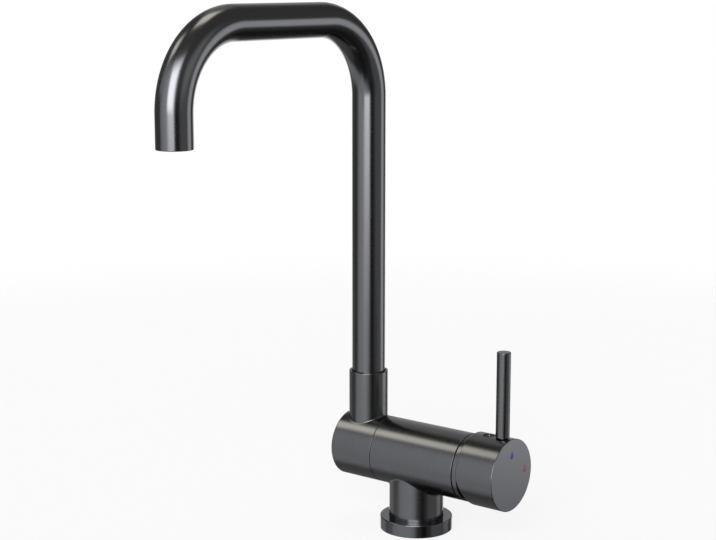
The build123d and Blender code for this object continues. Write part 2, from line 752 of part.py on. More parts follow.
export_step(aerator_sleeve.part, "parts/aerator_sleeve.step")

with BuildPart() as aerator_housing:
    aerator_foot = level(aerator_z, riser_x, -spout_reach)
    ring(aerator_foot, aerator_radius, aerator_bore_radius, aerator_seal_z - aerator_z)
    ring(aerator_foot, aerator_radius, aerator_bore_radius - aerator_ledge, aerator_ledge_height)
aerator_housing.part.label = "aerator_housing"
export_step(aerator_housing.part, "parts/aerator_housing.step")

with BuildPart() as aerator_seal:
    aerator_seal_foot = level(aerator_seal_z, riser_x, -spout_reach)
    ring(aerator_seal_foot, sleeve_thread_radius - seat_clearance, aerator_bore_radius, aerator_seal_height)
aerator_seal.part.label = "aerator_seal"
export_step(aerator_seal.part, "parts/aerator_seal.step")

# Jet disc on its skirt, which stands on the screen
with BuildPart() as aerator_insert:
    disc(level(jet_disc_z, riser_x, -spout_reach), insert_radius, jet_disc_height)
    skirt_z = screen_z + screen_height
    skirt_foot = level(skirt_z, riser_x, -spout_reach)
    ring(skirt_foot, insert_radius, insert_radius - jet_skirt_wall, jet_disc_z - skirt_z)
    with BuildSketch(level(jet_disc_z, riser_x, -spout_reach)):
        with PolarLocations(jet_circle_radius, jet_count):
            Circle(jet_hole_radius)
        with PolarLocations(inner_jet_circle_radius, inner_jet_count):
            Circle(jet_hole_radius)
    extrude(amount=jet_disc_height, mode=Mode.SUBTRACT)
aerator_insert.part.label = "aerator_insert"
export_step(aerator_insert.part, "parts/aerator_insert.step")

# Screen: crossed bars within a rim
screen_plane = level(screen_z, riser_x, -spout_reach)
bar_count = int(insert_radius / screen_pitch) * 2 + 1
with BuildPart() as aerator_screen:
    with BuildSketch(screen_plane):
        with GridLocations(screen_pitch, screen_pitch, bar_count, 1):
            Rectangle(screen_bar, 2 * insert_radius)
        with GridLocations(screen_pitch, screen_pitch, 1, bar_count):
            Rectangle(2 * insert_radius, screen_bar)
        Circle(insert_radius, mode=Mode.INTERSECT)
    extrude(amount=screen_height)
    ring(screen_plane, insert_radius, insert_radius - screen_rim, screen_height)
aerator_screen.part.label = "aerator_screen"
export_step(aerator_screen.part, "parts/aerator_screen.step")

# Cartridge base: it carries the fixed disc and brings the three ports from the seat's circle to the disc's
with BuildPart() as cartridge_base:
    disc(station(seat_x), housing_radius, base_flange_thickness)
    disc(station(seat_x), housing_bore_radius - seat_clearance, base_height)
    disc(station(seat_x), peg_radius, -peg_length, at=peg_places)
    disc(station(seat_x), outlet_bore_radius, base_port_depth, Mode.SUBTRACT, seat_ports)
    disc(station(fixed_disc_x), inlet_port_radius, -base_port_depth, Mode.SUBTRACT, disc_inlets)
    disc(station(fixed_disc_x), outlet_port_radius, -base_port_depth, Mode.SUBTRACT, disc_outlet)
    seal_seat_radius = port_seal_radius + port_seal_section / 2 + running_clearance
    disc(station(seat_x), seal_seat_radius, port_seal_section, Mode.SUBTRACT, seat_ports)
cartridge_base.part.label = "cartridge_base"
export_step(cartridge_base.part, "parts/cartridge_base.step")

with BuildPart() as port_seals:
    with Locations(station(seat_x + port_seal_section / 2)):
        with Locations(*seat_ports):
            Torus(port_seal_radius, port_seal_section / 2)
port_seals.part.label = "port_seals"
export_step(port_seals.part, "parts/port_seals.step")

with BuildPart() as fixed_disc:
    disc(station(fixed_disc_x), housing_bore_radius - fixed_disc_clearance, fixed_disc_height)
    disc(station(fixed_disc_x), inlet_port_radius, fixed_disc_height, Mode.SUBTRACT, disc_inlets)
    disc(station(fixed_disc_x), outlet_port_radius, fixed_disc_height, Mode.SUBTRACT, disc_outlet)
fixed_disc.part.label = "fixed_disc"
export_step(fixed_disc.part, "parts/fixed_disc.step")

# Moving disc: its blind recess joins the inlets to the outlet once the lever has slid it off centre
lug_places = [(side * (slider_width / 2 - slider_lug_inset), slider_lug_offset) for side in (-1, 1)]
with BuildPart() as moving_disc:
    with BuildSketch(station(moving_disc_x)):
        Circle(housing_bore_radius - disc_travel - disc_end_clearance)
        Rectangle(slider_width - 2 * moving_disc_inset, 2 * housing_bore_radius, mode=Mode.INTERSECT)
    extrude(amount=moving_disc_height)
    recess_place = [(0, -mixing_recess_offset)]
    disc(station(moving_disc_x), mixing_recess_radius, mixing_recess_depth, Mode.SUBTRACT, recess_place)
    lug_hole_radius = slider_lug_radius + slider_lug_clearance
    lug_hole_depth = slider_lug_height + slider_lug_clearance
    disc(station(slider_x), lug_hole_radius, -lug_hole_depth, Mode.SUBTRACT, lug_places)
moving_disc.part.label = "moving_disc"
export_step(moving_disc.part, "parts/moving_disc.step")

# Slider: holds the moving disc by two lugs and takes the stem's ball
with BuildPart() as disc_slider:
    with BuildSketch(station(slider_x)):
        RectangleRounded(slider_width, slider_length, slider_corner)
    extrude(amount=slider_height)
    disc(station(slider_x), slider_lug_radius, -slider_lug_height, at=lug_places)
    ball_hole_depth = slider_height - ball_web
    disc(station(slider_x + ball_web), ball_radius + ball_clearance, ball_hole_depth, Mode.SUBTRACT)
disc_slider.part.label = "disc_slider"
export_step(disc_slider.part, "parts/disc_slider.step")

# Rotor: turns in the housing's neck, guides the slider between two cheeks and carries the stem's pivot
slot_height = slot_rise + slot_drop
slot_width = stem_tongue + 2 * slot_clearance
with BuildPart() as cartridge_rotor:
    disc(station(rotor_x), housing_bore_radius - rotor_flange_clearance, rotor_flange_thickness)
    disc(station(rotor_x), rotor_neck_radius, rotor_front_x - rotor_x)
    with BuildSketch(station(slider_x + cheek_setback)):
        Circle(cheek_radius)
        Rectangle(slider_width + 2 * rotor_clearance, 2 * cheek_radius, mode=Mode.SUBTRACT)
    extrude(amount=rotor_x - slider_x - cheek_setback)
    with BuildSketch(station(rotor_x)):
        with Locations((0, (slot_rise - slot_drop) / 2)):
            Rectangle(slot_width, slot_height)
    extrude(amount=rotor_front_x - rotor_x, mode=Mode.SUBTRACT)
    pin_start = Plane(origin=(pivot_x, -rotor_neck_radius, axis_height), x_dir=(1, 0, 0), z_dir=(0, 1, 0))
    disc(pin_start, pivot_pin_diameter / 2 + thread_clearance, rotor_neck_diameter, Mode.SUBTRACT)
cartridge_rotor.part.label = "cartridge_rotor"
export_step(cartridge_rotor.part, "parts/cartridge_rotor.step")

with BuildPart() as cartridge_pivot_pin:
    disc(pin_start.offset(pivot_pin_inset), pivot_pin_diameter / 2, rotor_neck_diameter - 2 * pivot_pin_inset)
cartridge_pivot_pin.part.label = "cartridge_pivot_pin"
export_step(cartridge_pivot_pin.part, "parts/cartridge_pivot_pin.step")

# Stem: ball, neck, flat tongue with the pivot hole, and the square that the handle is pushed onto
stem_square_x = rotor_front_x + stem_square_stand
with BuildPart() as cartridge_stem:
    with Locations((ball_x, 0, axis_height)):
        Sphere(ball_radius)
    disc(station(ball_x), stem_neck_radius, stem_neck_length)
    tongue_x = ball_x + stem_neck_length
    bar(station(tongue_x), stem_tongue, stem_tongue, stem_square_x - tongue_x)
    bar(station(stem_square_x), stem_square, stem_square, stem_end_x - stem_square_x)
    chamfer(cartridge_stem.faces().sort_by(Axis.X)[-1].edges(), stem_edge)
    pivot_hole_radius = pivot_pin_diameter / 2 + running_clearance
    disc(pin_start, pivot_hole_radius, rotor_neck_diameter, Mode.SUBTRACT)
cartridge_stem.part.label = "cartridge_stem"
export_step(cartridge_stem.part, "parts/cartridge_stem.step")

with BuildPart() as cartridge_housing:
    skirt_x = seat_x + base_flange_thickness
    neck_front_x = ring_wall_x + neck_stand
    housing_neck_bore = rotor_neck_radius + rotor_clearance
    ring(station(skirt_x), housing_radius, housing_bore_radius, shoulder_x - skirt_x)
    ring(station(shoulder_x - shoulder_thickness), housing_radius, housing_neck_bore, shoulder_thickness)
    ring(station(shoulder_x), neck_diameter / 2, housing_neck_bore, neck_front_x - shoulder_x)
cartridge_housing.part.label = "cartridge_housing"
export_step(cartridge_housing.part, "parts/cartridge_housing.step")

# Threaded nut that holds the cartridge down
with BuildPart() as cartridge_nut:
    disc(station(shoulder_x), mouth_radius - nut_thread_clearance, nut_front_x - shoulder_x)
    hexagon(station(nut_front_x), nut_across_flats, ring_wall_x - nut_front_clearance - nut_front_x)
    nut_bore_radius = neck_diameter / 2 + nut_bore_clearance
    disc(station(shoulder_x), nut_bore_radius, ring_wall_x - shoulder_x, Mode.SUBTRACT)
cartridge_nut.part.label = "cartridge_nut"
export_step(cartridge_nut.part, "parts/cartridge_nut.step")

# Trim ring: covers the nut and stands a little off the body, on a spigot pushed into its mouth
with BuildPart() as trim_ring:
    disc(station(ring_back_x), barrel_radius, trim_width)
    chamfer(trim_ring.edges().filter_by(GeomType.CIRCLE), trim_edge)
    disc(station(nut_front_x), trim_spigot_radius, ring_back_x - nut_front_x)
    disc(station(nut_front_x), trim_cavity_radius, ring_wall_x - nut_front_x, Mode.SUBTRACT)
    disc(station(ring_wall_x), trim_front_hole / 2, trim_front_wall, Mode.SUBTRACT)
trim_ring.part.label = "trim_ring"
export_step(trim_ring.part, "parts/trim_ring.step")

# Handle cap: a deep cup with a hub for the stem and a boss for each screw. Its lower edge is cut back, so
# that it can tilt without touching the ring.
cap_rim = station(cap_rim_x, cap_axis_z)
relief_reach = cap_diameter
with BuildPart() as handle_cap:
    disc(cap_rim, cap_radius, cap_length)
    cap_rims = handle_cap.edges().filter_by(GeomType.CIRCLE).sort_by(Axis.X)
    chamfer(cap_rims[-1], cap_edge)
    relief_plane = Plane(origin=(cap_rim_x, 0, cap_axis_z), x_dir=(1, 0, 0), z_dir=(0, -1, 0))
    with BuildSketch(relief_plane):
        with BuildLine():
            Polyline(
                (0, 0),
                (relief_reach * tan(radians(relief_angle)), -relief_reach),
                (-cap_wall, -relief_reach),
                (-cap_wall, 0),
                close=True,
            )
        make_face()
    extrude(amount=relief_reach, both=True, mode=Mode.SUBTRACT)
    rim_edges = handle_cap.faces().filter_by(Plane.YZ).sort_by(Axis.X)[0].edges()
    chamfer(rim_edges.filter_by(GeomType.CIRCLE), cap_rim_edge)
    disc(cap_rim, cap_radius - cap_wall, cap_length - cap_end_wall, Mode.SUBTRACT)
    hub_length = cap_face_x - cap_end_wall - hub_x
    disc(station(hub_x, cap_axis_z), hub_diameter / 2, hub_length)
    boss_height = cap_radius - cap_wall / 2
    disc(level(cap_axis_z, grub_x), grub_boss_diameter / 2, boss_height)
    disc(level(cap_axis_z, lever_x), lever_boss_diameter / 2, boss_height)
    # Square socket, higher than the stem because the grub screw takes up the play
    socket_width = stem_square + 2 * socket_side_clearance
    socket_height = stem_square + 2 * cap_rise
    bar(station(hub_x, cap_axis_z), socket_width, socket_height, socket_end_x - hub_x, Mode.SUBTRACT)
    # Grub screw's thread, the way in above it, and the plug's seat
    disc(level(axis_height, grub_x), grub_thread_radius, grub_top_z - axis_height, Mode.SUBTRACT)
    disc(level(grub_top_z, grub_x), grub_access_radius, cap_radius, Mode.SUBTRACT)
    disc(level(plug_seat_z, grub_x), plug_radius + plug_clearance, cap_radius, Mode.SUBTRACT)
    # Lever's thread and the recess round its neck
    lever_hole_z = lever_seat_z - lever_thread_length - seat_clearance
    disc(level(lever_hole_z, lever_x), lever_thread_radius, cap_radius, Mode.SUBTRACT)
    disc(level(lever_seat_z, lever_x), lever_neck_radius + seat_clearance, cap_radius, Mode.SUBTRACT)
    for place in (cold_mark_place, hot_mark_place):
        drop_mark(place, mark_clearance, Mode.SUBTRACT)
handle_cap.part.label = "handle_cap"
export_step(handle_cap.part, "parts/handle_cap.step")

with BuildPart() as handle_grub_screw:
    disc(level(socket_top_z, grub_x), grub_thread_radius - thread_clearance, grub_length)
    hexagon(level(grub_top_z, grub_x), grub_key, -grub_key_depth, Mode.SUBTRACT)
handle_grub_screw.part.label = "handle_grub_screw"
export_step(handle_grub_screw.part, "parts/handle_grub_screw.step")

# Plug over the grub screw: a slightly domed head that stands proud of the cap
with BuildPart() as grub_screw_plug:
    disc(level(plug_seat_z, grub_x), plug_radius, plug_seat + plug_proud)
    chamfer(grub_screw_plug.faces().sort_by(Axis.Z)[-1].edges(), plug_dome, plug_dome_width)
    disc(level(plug_seat_z, grub_x), grub_access_radius - running_clearance, -plug_shank_length)
grub_screw_plug.part.label = "grub_screw_plug"
export_step(grub_screw_plug.part, "parts/grub_screw_plug.step")

# Lever pin: its neck leaves a dark line between the cap and the pin's foot
with BuildPart() as lever_pin:
    lever_end = level(lever_seat_z - lever_thread_length, lever_x)
    disc(lever_end, lever_thread_radius - thread_clearance, lever_thread_length)
    disc(level(lever_seat_z, lever_x), lever_neck_radius, lever_foot_z - lever_seat_z)
    disc(level(lever_foot_z, lever_x), lever_radius, lever_top_z - lever_foot_z)
    chamfer(lever_pin.faces().sort_by(Axis.Z)[-1].edges(), lever_edge)
lever_pin.part.label = "lever_pin"
export_step(lever_pin.part, "parts/lever_pin.step")

with BuildPart() as cold_mark:
    drop_mark(cold_mark_place, 0)
cold_mark.part.label = "cold_mark"
export_step(cold_mark.part, "parts/cold_mark.step")

with BuildPart() as hot_mark:
    drop_mark(hot_mark_place, 0)
hot_mark.part.label = "hot_mark"
export_step(hot_mark.part, "parts/hot_mark.step")
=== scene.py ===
from math import asin, atan2, cos, degrees, pi, radians, sin, sqrt, tan

import bmesh
import bpy
from mathutils import Matrix, Vector


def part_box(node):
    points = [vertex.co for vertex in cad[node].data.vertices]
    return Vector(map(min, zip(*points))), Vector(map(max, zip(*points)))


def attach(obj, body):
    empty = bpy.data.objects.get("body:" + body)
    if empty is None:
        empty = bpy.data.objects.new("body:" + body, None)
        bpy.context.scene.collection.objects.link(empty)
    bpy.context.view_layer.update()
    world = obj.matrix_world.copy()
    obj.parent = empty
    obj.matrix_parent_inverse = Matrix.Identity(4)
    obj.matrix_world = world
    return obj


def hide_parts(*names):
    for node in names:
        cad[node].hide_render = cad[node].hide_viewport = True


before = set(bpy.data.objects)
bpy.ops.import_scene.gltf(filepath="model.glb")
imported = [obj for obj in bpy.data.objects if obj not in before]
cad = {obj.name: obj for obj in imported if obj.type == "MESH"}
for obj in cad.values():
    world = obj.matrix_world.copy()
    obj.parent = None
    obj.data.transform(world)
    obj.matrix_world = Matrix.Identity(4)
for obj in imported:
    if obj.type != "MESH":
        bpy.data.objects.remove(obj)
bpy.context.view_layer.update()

# Fold-down kitchen mixer in gunmetal finish, in metres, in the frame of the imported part. X runs along the
# barrel towards the handle, the spout reaches towards -Y and Z is up.

MM = 0.001

# Camera
CAMERA_PLACE = Vector((0.591475, -0.821042, 0.360429))
CAMERA_AIM = Vector((-0.60500, 0.77529, -0.18138))
CAMERA_LENS = 79.78
SENSOR_WIDTH = 36.0
camera_azimuth = degrees(atan2(CAMERA_PLACE.x, -CAMERA_PLACE.y))


def make_camera():
    """Camera at the photograph's angle."""
    data = bpy.data.cameras.new("studio_camera")
    data.lens = CAMERA_LENS
    data.sensor_width = SENSOR_WIDTH
    data.sensor_fit = "HORIZONTAL"
    camera = bpy.data.objects.new("studio_camera", data)
    camera.location = CAMERA_PLACE
    camera.rotation_euler = CAMERA_AIM.to_track_quat("-Z", "Y").to_euler()
    bpy.context.scene.collection.objects.link(camera)
    bpy.context.scene.camera = camera


# Sizes in millimetres. The main ones are read from the frame, so a change in the part carries over.
def span(node):
    """Lowest and highest corner of a node, in millimetres."""
    low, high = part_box(node)
    return low / MM, high / MM


body_low, body_high = span("mixer_body")
carrier_low, carrier_high = span("spout_carrier")
cover_low, cover_high = span("end_cover")
flange_low, flange_high = span("base_flange")
tube_low, tube_high = span("spout_tube")
trim_low, trim_high = span("trim_ring")
cap_low, cap_high = span("handle_cap")
lever_low, lever_high = span("lever_pin")
plug_low, plug_high = span("grub_screw_plug")

barrel_radius = (body_high.y - body_low.y) / 2
axis_z = body_high.z - barrel_radius
riser_x = (tube_high.x + tube_low.x) / 2
tube_radius = (tube_high.x - tube_low.x) / 2
cap_axis_z = (cap_high.z + cap_low.z) / 2
cap_radius = (cap_high.z - cap_low.z) / 2
lever_x = (lever_high.x + lever_low.x) / 2
plug_x = (plug_high.x + plug_low.x) / 2

# Roundings of steps, mouths and rims that hardly show
STEP_EDGE = 0.1
INNER_EDGE = 0.2
MOUTH_EDGE = 0.3
RIM_EDGE = 0.4


# Mesh tools
SEGMENTS = 192
PIN_SEGMENTS = 128
SMALL_SEGMENTS = 96
HOLE_SEGMENTS = 64
CORNER_STEPS = 5
ON_AXIS = 1e-6
SAME_SIZE = 1e-4


def rounded(corners):
    """Outline with its corners rounded. Each corner is (place along the axis, radius, rounding)."""
    points = []
    for index, (along, radius, rounding) in enumerate(corners):
        here = Vector((along, radius))
        if rounding == 0:
            points.append(here)
            continue
        back = (Vector(corners[index - 1][:2]) - here).normalized()
        onward = (Vector(corners[(index + 1) % len(corners)][:2]) - here).normalized()
        half_angle = back.angle(onward) / 2
        centre = here + (back + onward).normalized() * rounding / sin(half_angle)
        start = here + back * rounding / tan(half_angle) - centre
        end = here + onward * rounding / tan(half_angle) - centre
        for step in range(CORNER_STEPS + 1):
            spoke = start.lerp(end, step / CORNER_STEPS)
            points.append(centre + spoke.normalized() * rounding)
    return points


def solid(*corners):
    """Outline of a solid piece: it starts and ends on the axis, level with its first and last corner."""
    return [(corners[0][0], 0.0, 0), *corners, (corners[-1][0], 0.0, 0)]


def link_rings(shape, lower, upper, steps=None):
    """Faces between two rings of vertices. A ring of one vertex is the tip of a fan."""
    count = max(len(lower), len(upper))
    for index in range(count) if steps is None else steps:
        after = (index + 1) % count
        corners = []
        for ring, places in ((lower, (index, after)), (upper, (after, index))):
            corners += [ring[0]] if len(ring) == 1 else [ring[place] for place in places]
        shape.faces.new(corners)


def link_rows(shape, rings, closed=False):
    """Faces from each ring to the next and, in a closed shape, from the last to the first."""
    for lower, upper in zip(rings, rings[1:] + rings[:1] if closed else rings[1:]):
        link_rings(shape, lower, upper)


def finish_mesh(name, shape):
    """Object of a finished mesh, brought from millimetres to metres."""
    bmesh.ops.recalc_face_normals(shape, faces=shape.faces)
    bmesh.ops.scale(shape, vec=(MM, MM, MM), verts=shape.verts)
    mesh = bpy.data.meshes.new(name)
    shape.to_mesh(mesh)
    shape.free()
    piece = bpy.data.objects.new(name, mesh)
    bpy.context.scene.collection.objects.link(piece)
    return piece


def turned(name, corners, axis="X", centre=(0.0, 0.0), segments=SEGMENTS):
    """Turned piece. An outline that starts and ends on the axis is solid, any other closes on itself."""
    shape = bmesh.new()
    rings = []
    for along, radius in rounded(corners):
        ring = []
        for step in range(segments if radius > ON_AXIS else 1):
            angle = 2 * pi * step / segments
            place = [centre[0] + radius * cos(angle), centre[1] + radius * sin(angle)]
            place.insert("XYZ".index(axis), along)
            ring.append(shape.verts.new(place))
        rings.append(ring)
    link_rows(shape, rings, closed=len(rings[0]) > 1)
    return finish_mesh(name, shape)


def block(low, high):
    """Plain block that serves as a cutting tool."""
    shape = bmesh.new()
    bmesh.ops.create_cube(shape, size=1.0)
    for vertex in shape.verts:
        share = vertex.co + Vector((0.5, 0.5, 0.5))
        vertex.co = Vector(low) + share * (Vector(high) - Vector(low))
    return finish_mesh("block", shape)


def apply_modifiers(piece):
    """Works a piece's modifiers into its mesh."""
    view = bpy.context.evaluated_depsgraph_get()
    mesh = bpy.data.meshes.new_from_object(piece.evaluated_get(view))
    piece.modifiers.clear()
    piece.data = mesh
    mesh.name = piece.name


def cut(piece, *tools):
    """Takes the volume of each tool out of a piece."""
    for tool in tools:
        step = piece.modifiers.new("cut", "BOOLEAN")
        step.operation = "DIFFERENCE"
        step.solver = "EXACT"
        step.object = tool
        apply_modifiers(piece)
        bpy.data.objects.remove(tool)


def smooth(piece, sharp_angle):
    """Smooth shading that keeps large faces true beside their rounded edges."""
    piece.data.shade_smooth()
    piece.data.set_sharp_from_angle(angle=radians(sharp_angle))
    step = piece.modifiers.new("face_weights", "WEIGHTED_NORMAL")
    step.keep_sharp = True
    apply_modifiers(piece)


# Barrel with a branch
WINDOW_STEPS = 64
PATCH_STEPS = 6
FILLET_STEPS = 6


class Spoke:
    """One line of vertices that runs from the window's rim in the barrel, over the fillet, to the branch."""

    def __init__(self, branch, offset, turn):
        self.branch = branch
        self.offset = offset
        self.turn = turn
        self.heading = atan2(barrel_radius * turn, offset)
        ball_reach = branch["radius"] + branch["fillet"]
        across = ball_reach * sin(self.heading)
        up = sqrt((barrel_radius + branch["fillet"]) ** 2 - across**2)
        self.ball = Vector((ball_reach * cos(self.heading), across, up))
        self.meeting_turn = atan2(across, up)

    def place(self, x, y, up):
        return (self.branch["x"] + x, y, axis_z + self.branch["side"] * up)

    def on_barrel(self, share):
        x = self.offset + (self.ball.x - self.offset) * share
        turn = self.turn + (self.meeting_turn - self.turn) * share
        return self.place(x, barrel_radius * sin(turn), barrel_radius * cos(turn))

    def on_fillet(self, share):
        to_barrel = Vector((0.0, -sin(self.meeting_turn), -cos(self.meeting_turn)))
        to_branch = Vector((-cos(self.heading), -sin(self.heading), 0.0))
        return self.place(*(self.ball + self.branch["fillet"] * to_barrel.slerp(to_branch, share)))

    def on_branch(self, height, radius):
        return (self.branch["x"] + radius * cos(self.heading), radius * sin(self.heading), height)


def branched(name, corners, branch, branch_corners):
    """Turned barrel along X with a branch along Z that meets it in a rolling-ball fillet.

    The barrel has a window between two stations. Rows of vertices lead from its rim to the fillet and
    along the branch.
    """
    shape = bmesh.new()
    window_low, window_high = branch["window"]
    half_turn = branch["half_turn"]
    stations = []
    for along, radius in rounded(corners):
        if stations and min(radius, stations[-1][1]) > barrel_radius - SAME_SIZE:
            first = len(stations)
            for step in range(WINDOW_STEPS + 1):
                share = step / WINDOW_STEPS
                stations.append((window_low + (window_high - window_low) * share, barrel_radius))
        stations.append((along, radius))
    last = first + WINDOW_STEPS
    rings = []
    for along, radius in stations:
        ring = []
        for step in range(SEGMENTS if radius > ON_AXIS else 1):
            angle = 2 * pi * step / SEGMENTS
            height = axis_z + branch["side"] * radius * cos(angle)
            ring.append(shape.verts.new((along, radius * sin(angle), height)))
        rings.append(ring)
    for index, (lower, upper) in enumerate(zip(rings, rings[1:])):
        beside_window = range(half_turn, SEGMENTS - half_turn) if first <= index < last else None
        link_rings(shape, lower, upper, beside_window)
    if len(rings[0]) > 1:
        link_rings(shape, rings[-1], rings[0])
    across = range(-half_turn, half_turn)
    rim = [(last, step) for step in across]
    rim += [(index, half_turn) for index in range(last, first, -1)]
    rim += [(first, -step) for step in across]
    rim += [(index, -half_turn) for index in range(first, last)]
    places = [(stations[index][0] - branch["x"], 2 * pi * step / SEGMENTS) for index, step in rim]
    spokes = [Spoke(branch, offset, turn) for offset, turn in places]
    rows = [[rings[index][step] for index, step in rim]]
    for step in range(1, PATCH_STEPS + 1):
        rows.append([shape.verts.new(spoke.on_barrel(step / PATCH_STEPS)) for spoke in spokes])
    for step in range(1, FILLET_STEPS + 1):
        rows.append([shape.verts.new(spoke.on_fillet(step / FILLET_STEPS)) for spoke in spokes])
    for height, radius in rounded(branch_corners):
        ring = spokes if radius > ON_AXIS else spokes[:1]
        rows.append([shape.verts.new(spoke.on_branch(height, radius)) for spoke in ring])
    link_rows(shape, rows)
    return finish_mesh(name, shape)


# Bent tube
BEND_STEPS = 28
BEND_RADIUS = 50.0
TUBE_WALL = 1.3
TUBE_PAST_AERATOR = 0.3
spout_foot_z = tube_low.z
spout_bridge_z = tube_high.z - tube_radius
spout_reach = -(tube_low.y + tube_radius)
bend_length = BEND_RADIUS * pi / 2
rise_length = spout_bridge_z - spout_foot_z - BEND_RADIUS
bridge_length = spout_reach - 2 * BEND_RADIUS
outlet_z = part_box("aerator_housing")[0].z / MM - TUBE_PAST_AERATOR
drop_length = spout_bridge_z - BEND_RADIUS - outlet_z
first_bend = rise_length
second_bend = rise_length + bend_length + bridge_length
route_length = second_bend + bend_length + drop_length


def route_place(distance):
    """Point of the spout's centre line, and the outward direction across it in the plane of the bends."""
    turn = min(max(distance - first_bend, 0.0), bend_length) / BEND_RADIUS
    turn += min(max(distance - second_bend, 0.0), bend_length) / BEND_RADIUS
    outward = Vector((0.0, cos(turn), sin(turn)))
    if distance < first_bend:
        return Vector((riser_x, 0.0, spout_foot_z + distance)), outward
    if distance > second_bend + bend_length:
        drop = distance - second_bend - bend_length
        return Vector((riser_x, -spout_reach, spout_bridge_z - BEND_RADIUS - drop)), outward
    bridged = min(max(distance - first_bend - bend_length, 0.0), bridge_length)
    centre = Vector((riser_x, -BEND_RADIUS - bridged, spout_bridge_z - BEND_RADIUS))
    return centre + BEND_RADIUS * outward, outward


def spout_stations():
    """Places of the rings along the spout: the ends of its straights and close steps in its bends."""
    stations = []
    for start in (first_bend, second_bend):
        stations += [start + bend_length * step / BEND_STEPS for step in range(BEND_STEPS + 1)]
    return stations


def make_spout():
    """Spout: outer and inner wall along the same centre line, with rounded rims."""
    bore = tube_radius - TUBE_WALL
    corners = [
        (0.0, tube_radius, INNER_EDGE),
        (route_length, tube_radius, RIM_EDGE),
        (route_length, bore, RIM_EDGE),
        (0.0, bore, INNER_EDGE),
    ]
    outline = rounded(corners)
    first = CORNER_STEPS + 1
    last = 3 * first
    outer = [(place, tube_radius) for place in spout_stations()]
    inner = [(place, bore) for place in reversed(spout_stations())]
    outline = outline[:first] + outer + outline[first:last] + inner + outline[last:]
    shape = bmesh.new()
    rings = []
    for distance, radius in outline:
        centre, outward = route_place(distance)
        ring = []
        for step in range(SMALL_SEGMENTS):
            angle = 2 * pi * step / SMALL_SEGMENTS
            spoke = Vector((radius * sin(angle), 0.0, 0.0)) + radius * cos(angle) * outward
            ring.append(shape.verts.new(centre + spoke))
        rings.append(ring)
    link_rows(shape, rings, closed=True)
    dress(finish_mesh("bent_spout", shape), "satin_tube", "spout", "gunmetal", "spout_tube")


# Shader nodes
def add(tree, kind, inputs=None, **settings):
    """Node in a tree. Each input is a socket to link or a value to set."""
    node = tree.nodes.new(kind)
    for name, value in settings.items():
        setattr(node, name, value)
    for key, value in (inputs or {}).items():
        if isinstance(value, bpy.types.NodeSocket):
            tree.links.new(value, node.inputs[key])
        else:
            node.inputs[key].default_value = value
    return node


def calc(tree, operation, *values, clamp=False):
    """Result of one Math node."""
    inputs = dict(enumerate(values))
    return add(tree, "ShaderNodeMath", inputs, operation=operation, use_clamp=clamp).outputs[0]


def vector_calc(tree, operation, *values, output=0):
    """Result of one Vector Math node. Output 1 is the number that a length or a dot product gives."""
    inputs = dict(enumerate(values))
    return add(tree, "ShaderNodeVectorMath", inputs, operation=operation).outputs[output]


def scaled(tree, vector, factor):
    """A vector times a number."""
    return add(tree, "ShaderNodeVectorMath", {0: vector, "Scale": factor}, operation="SCALE").outputs[0]


def blend_colours(tree, factor, low, high):
    """Mix of two colours. The node's sockets 6 and 7 are its colour inputs."""
    return add(tree, "ShaderNodeMix", {0: factor, 6: low, 7: high}, data_type="RGBA").outputs[2]


def remap(tree, value, low, high, new_low=0.0, new_high=1.0):
    """A value carried from one range to another, with soft ends."""
    inputs = {0: value, 1: low, 2: high, 3: new_low, 4: new_high}
    return add(tree, "ShaderNodeMapRange", inputs, interpolation_type="SMOOTHSTEP").outputs[0]


def noise(tree, vector, scale, detail=2.0, roughness=0.5, distortion=0.0):
    """Noise value from 0 to 1."""
    inputs = {"Vector": vector, "Scale": scale, "Detail": detail, "Roughness": roughness}
    inputs["Distortion"] = distortion
    return add(tree, "ShaderNodeTexNoise", inputs).outputs[0]


def own_place(tree):
    """The shaded point in the piece's own coordinates, in metres."""
    return add(tree, "ShaderNodeTexCoord").outputs["Object"]


def start_group(name, inputs, outputs):
    """Empty node group. An input's default is a number or a vector, and each output is a number."""
    tree = bpy.data.node_groups.new(name, "ShaderNodeTree")
    for title, default in inputs.items():
        kind = "NodeSocketFloat" if isinstance(default, float) else "NodeSocketVector"
        socket = tree.interface.new_socket(title, in_out="INPUT", socket_type=kind)
        socket.default_value = default
    for title in outputs:
        tree.interface.new_socket(title, in_out="OUTPUT", socket_type="NodeSocketFloat")
    return tree, tree.nodes.new("NodeGroupInput").outputs, tree.nodes.new("NodeGroupOutput").inputs


# Studio
ALONG_X = (1.0, 0.0, 0.0)
ALONG_Z = (0.0, 0.0, 1.0)
WHITE = (1.0, 1.0, 1.0, 1.0)
ROOM_LEVEL = 0.15
NEUTRAL = (1.0, 1.0, 1.0)
COOL = (0.97, 1.0, 1.05)
WARM = (1.04, 1.0, 0.90)
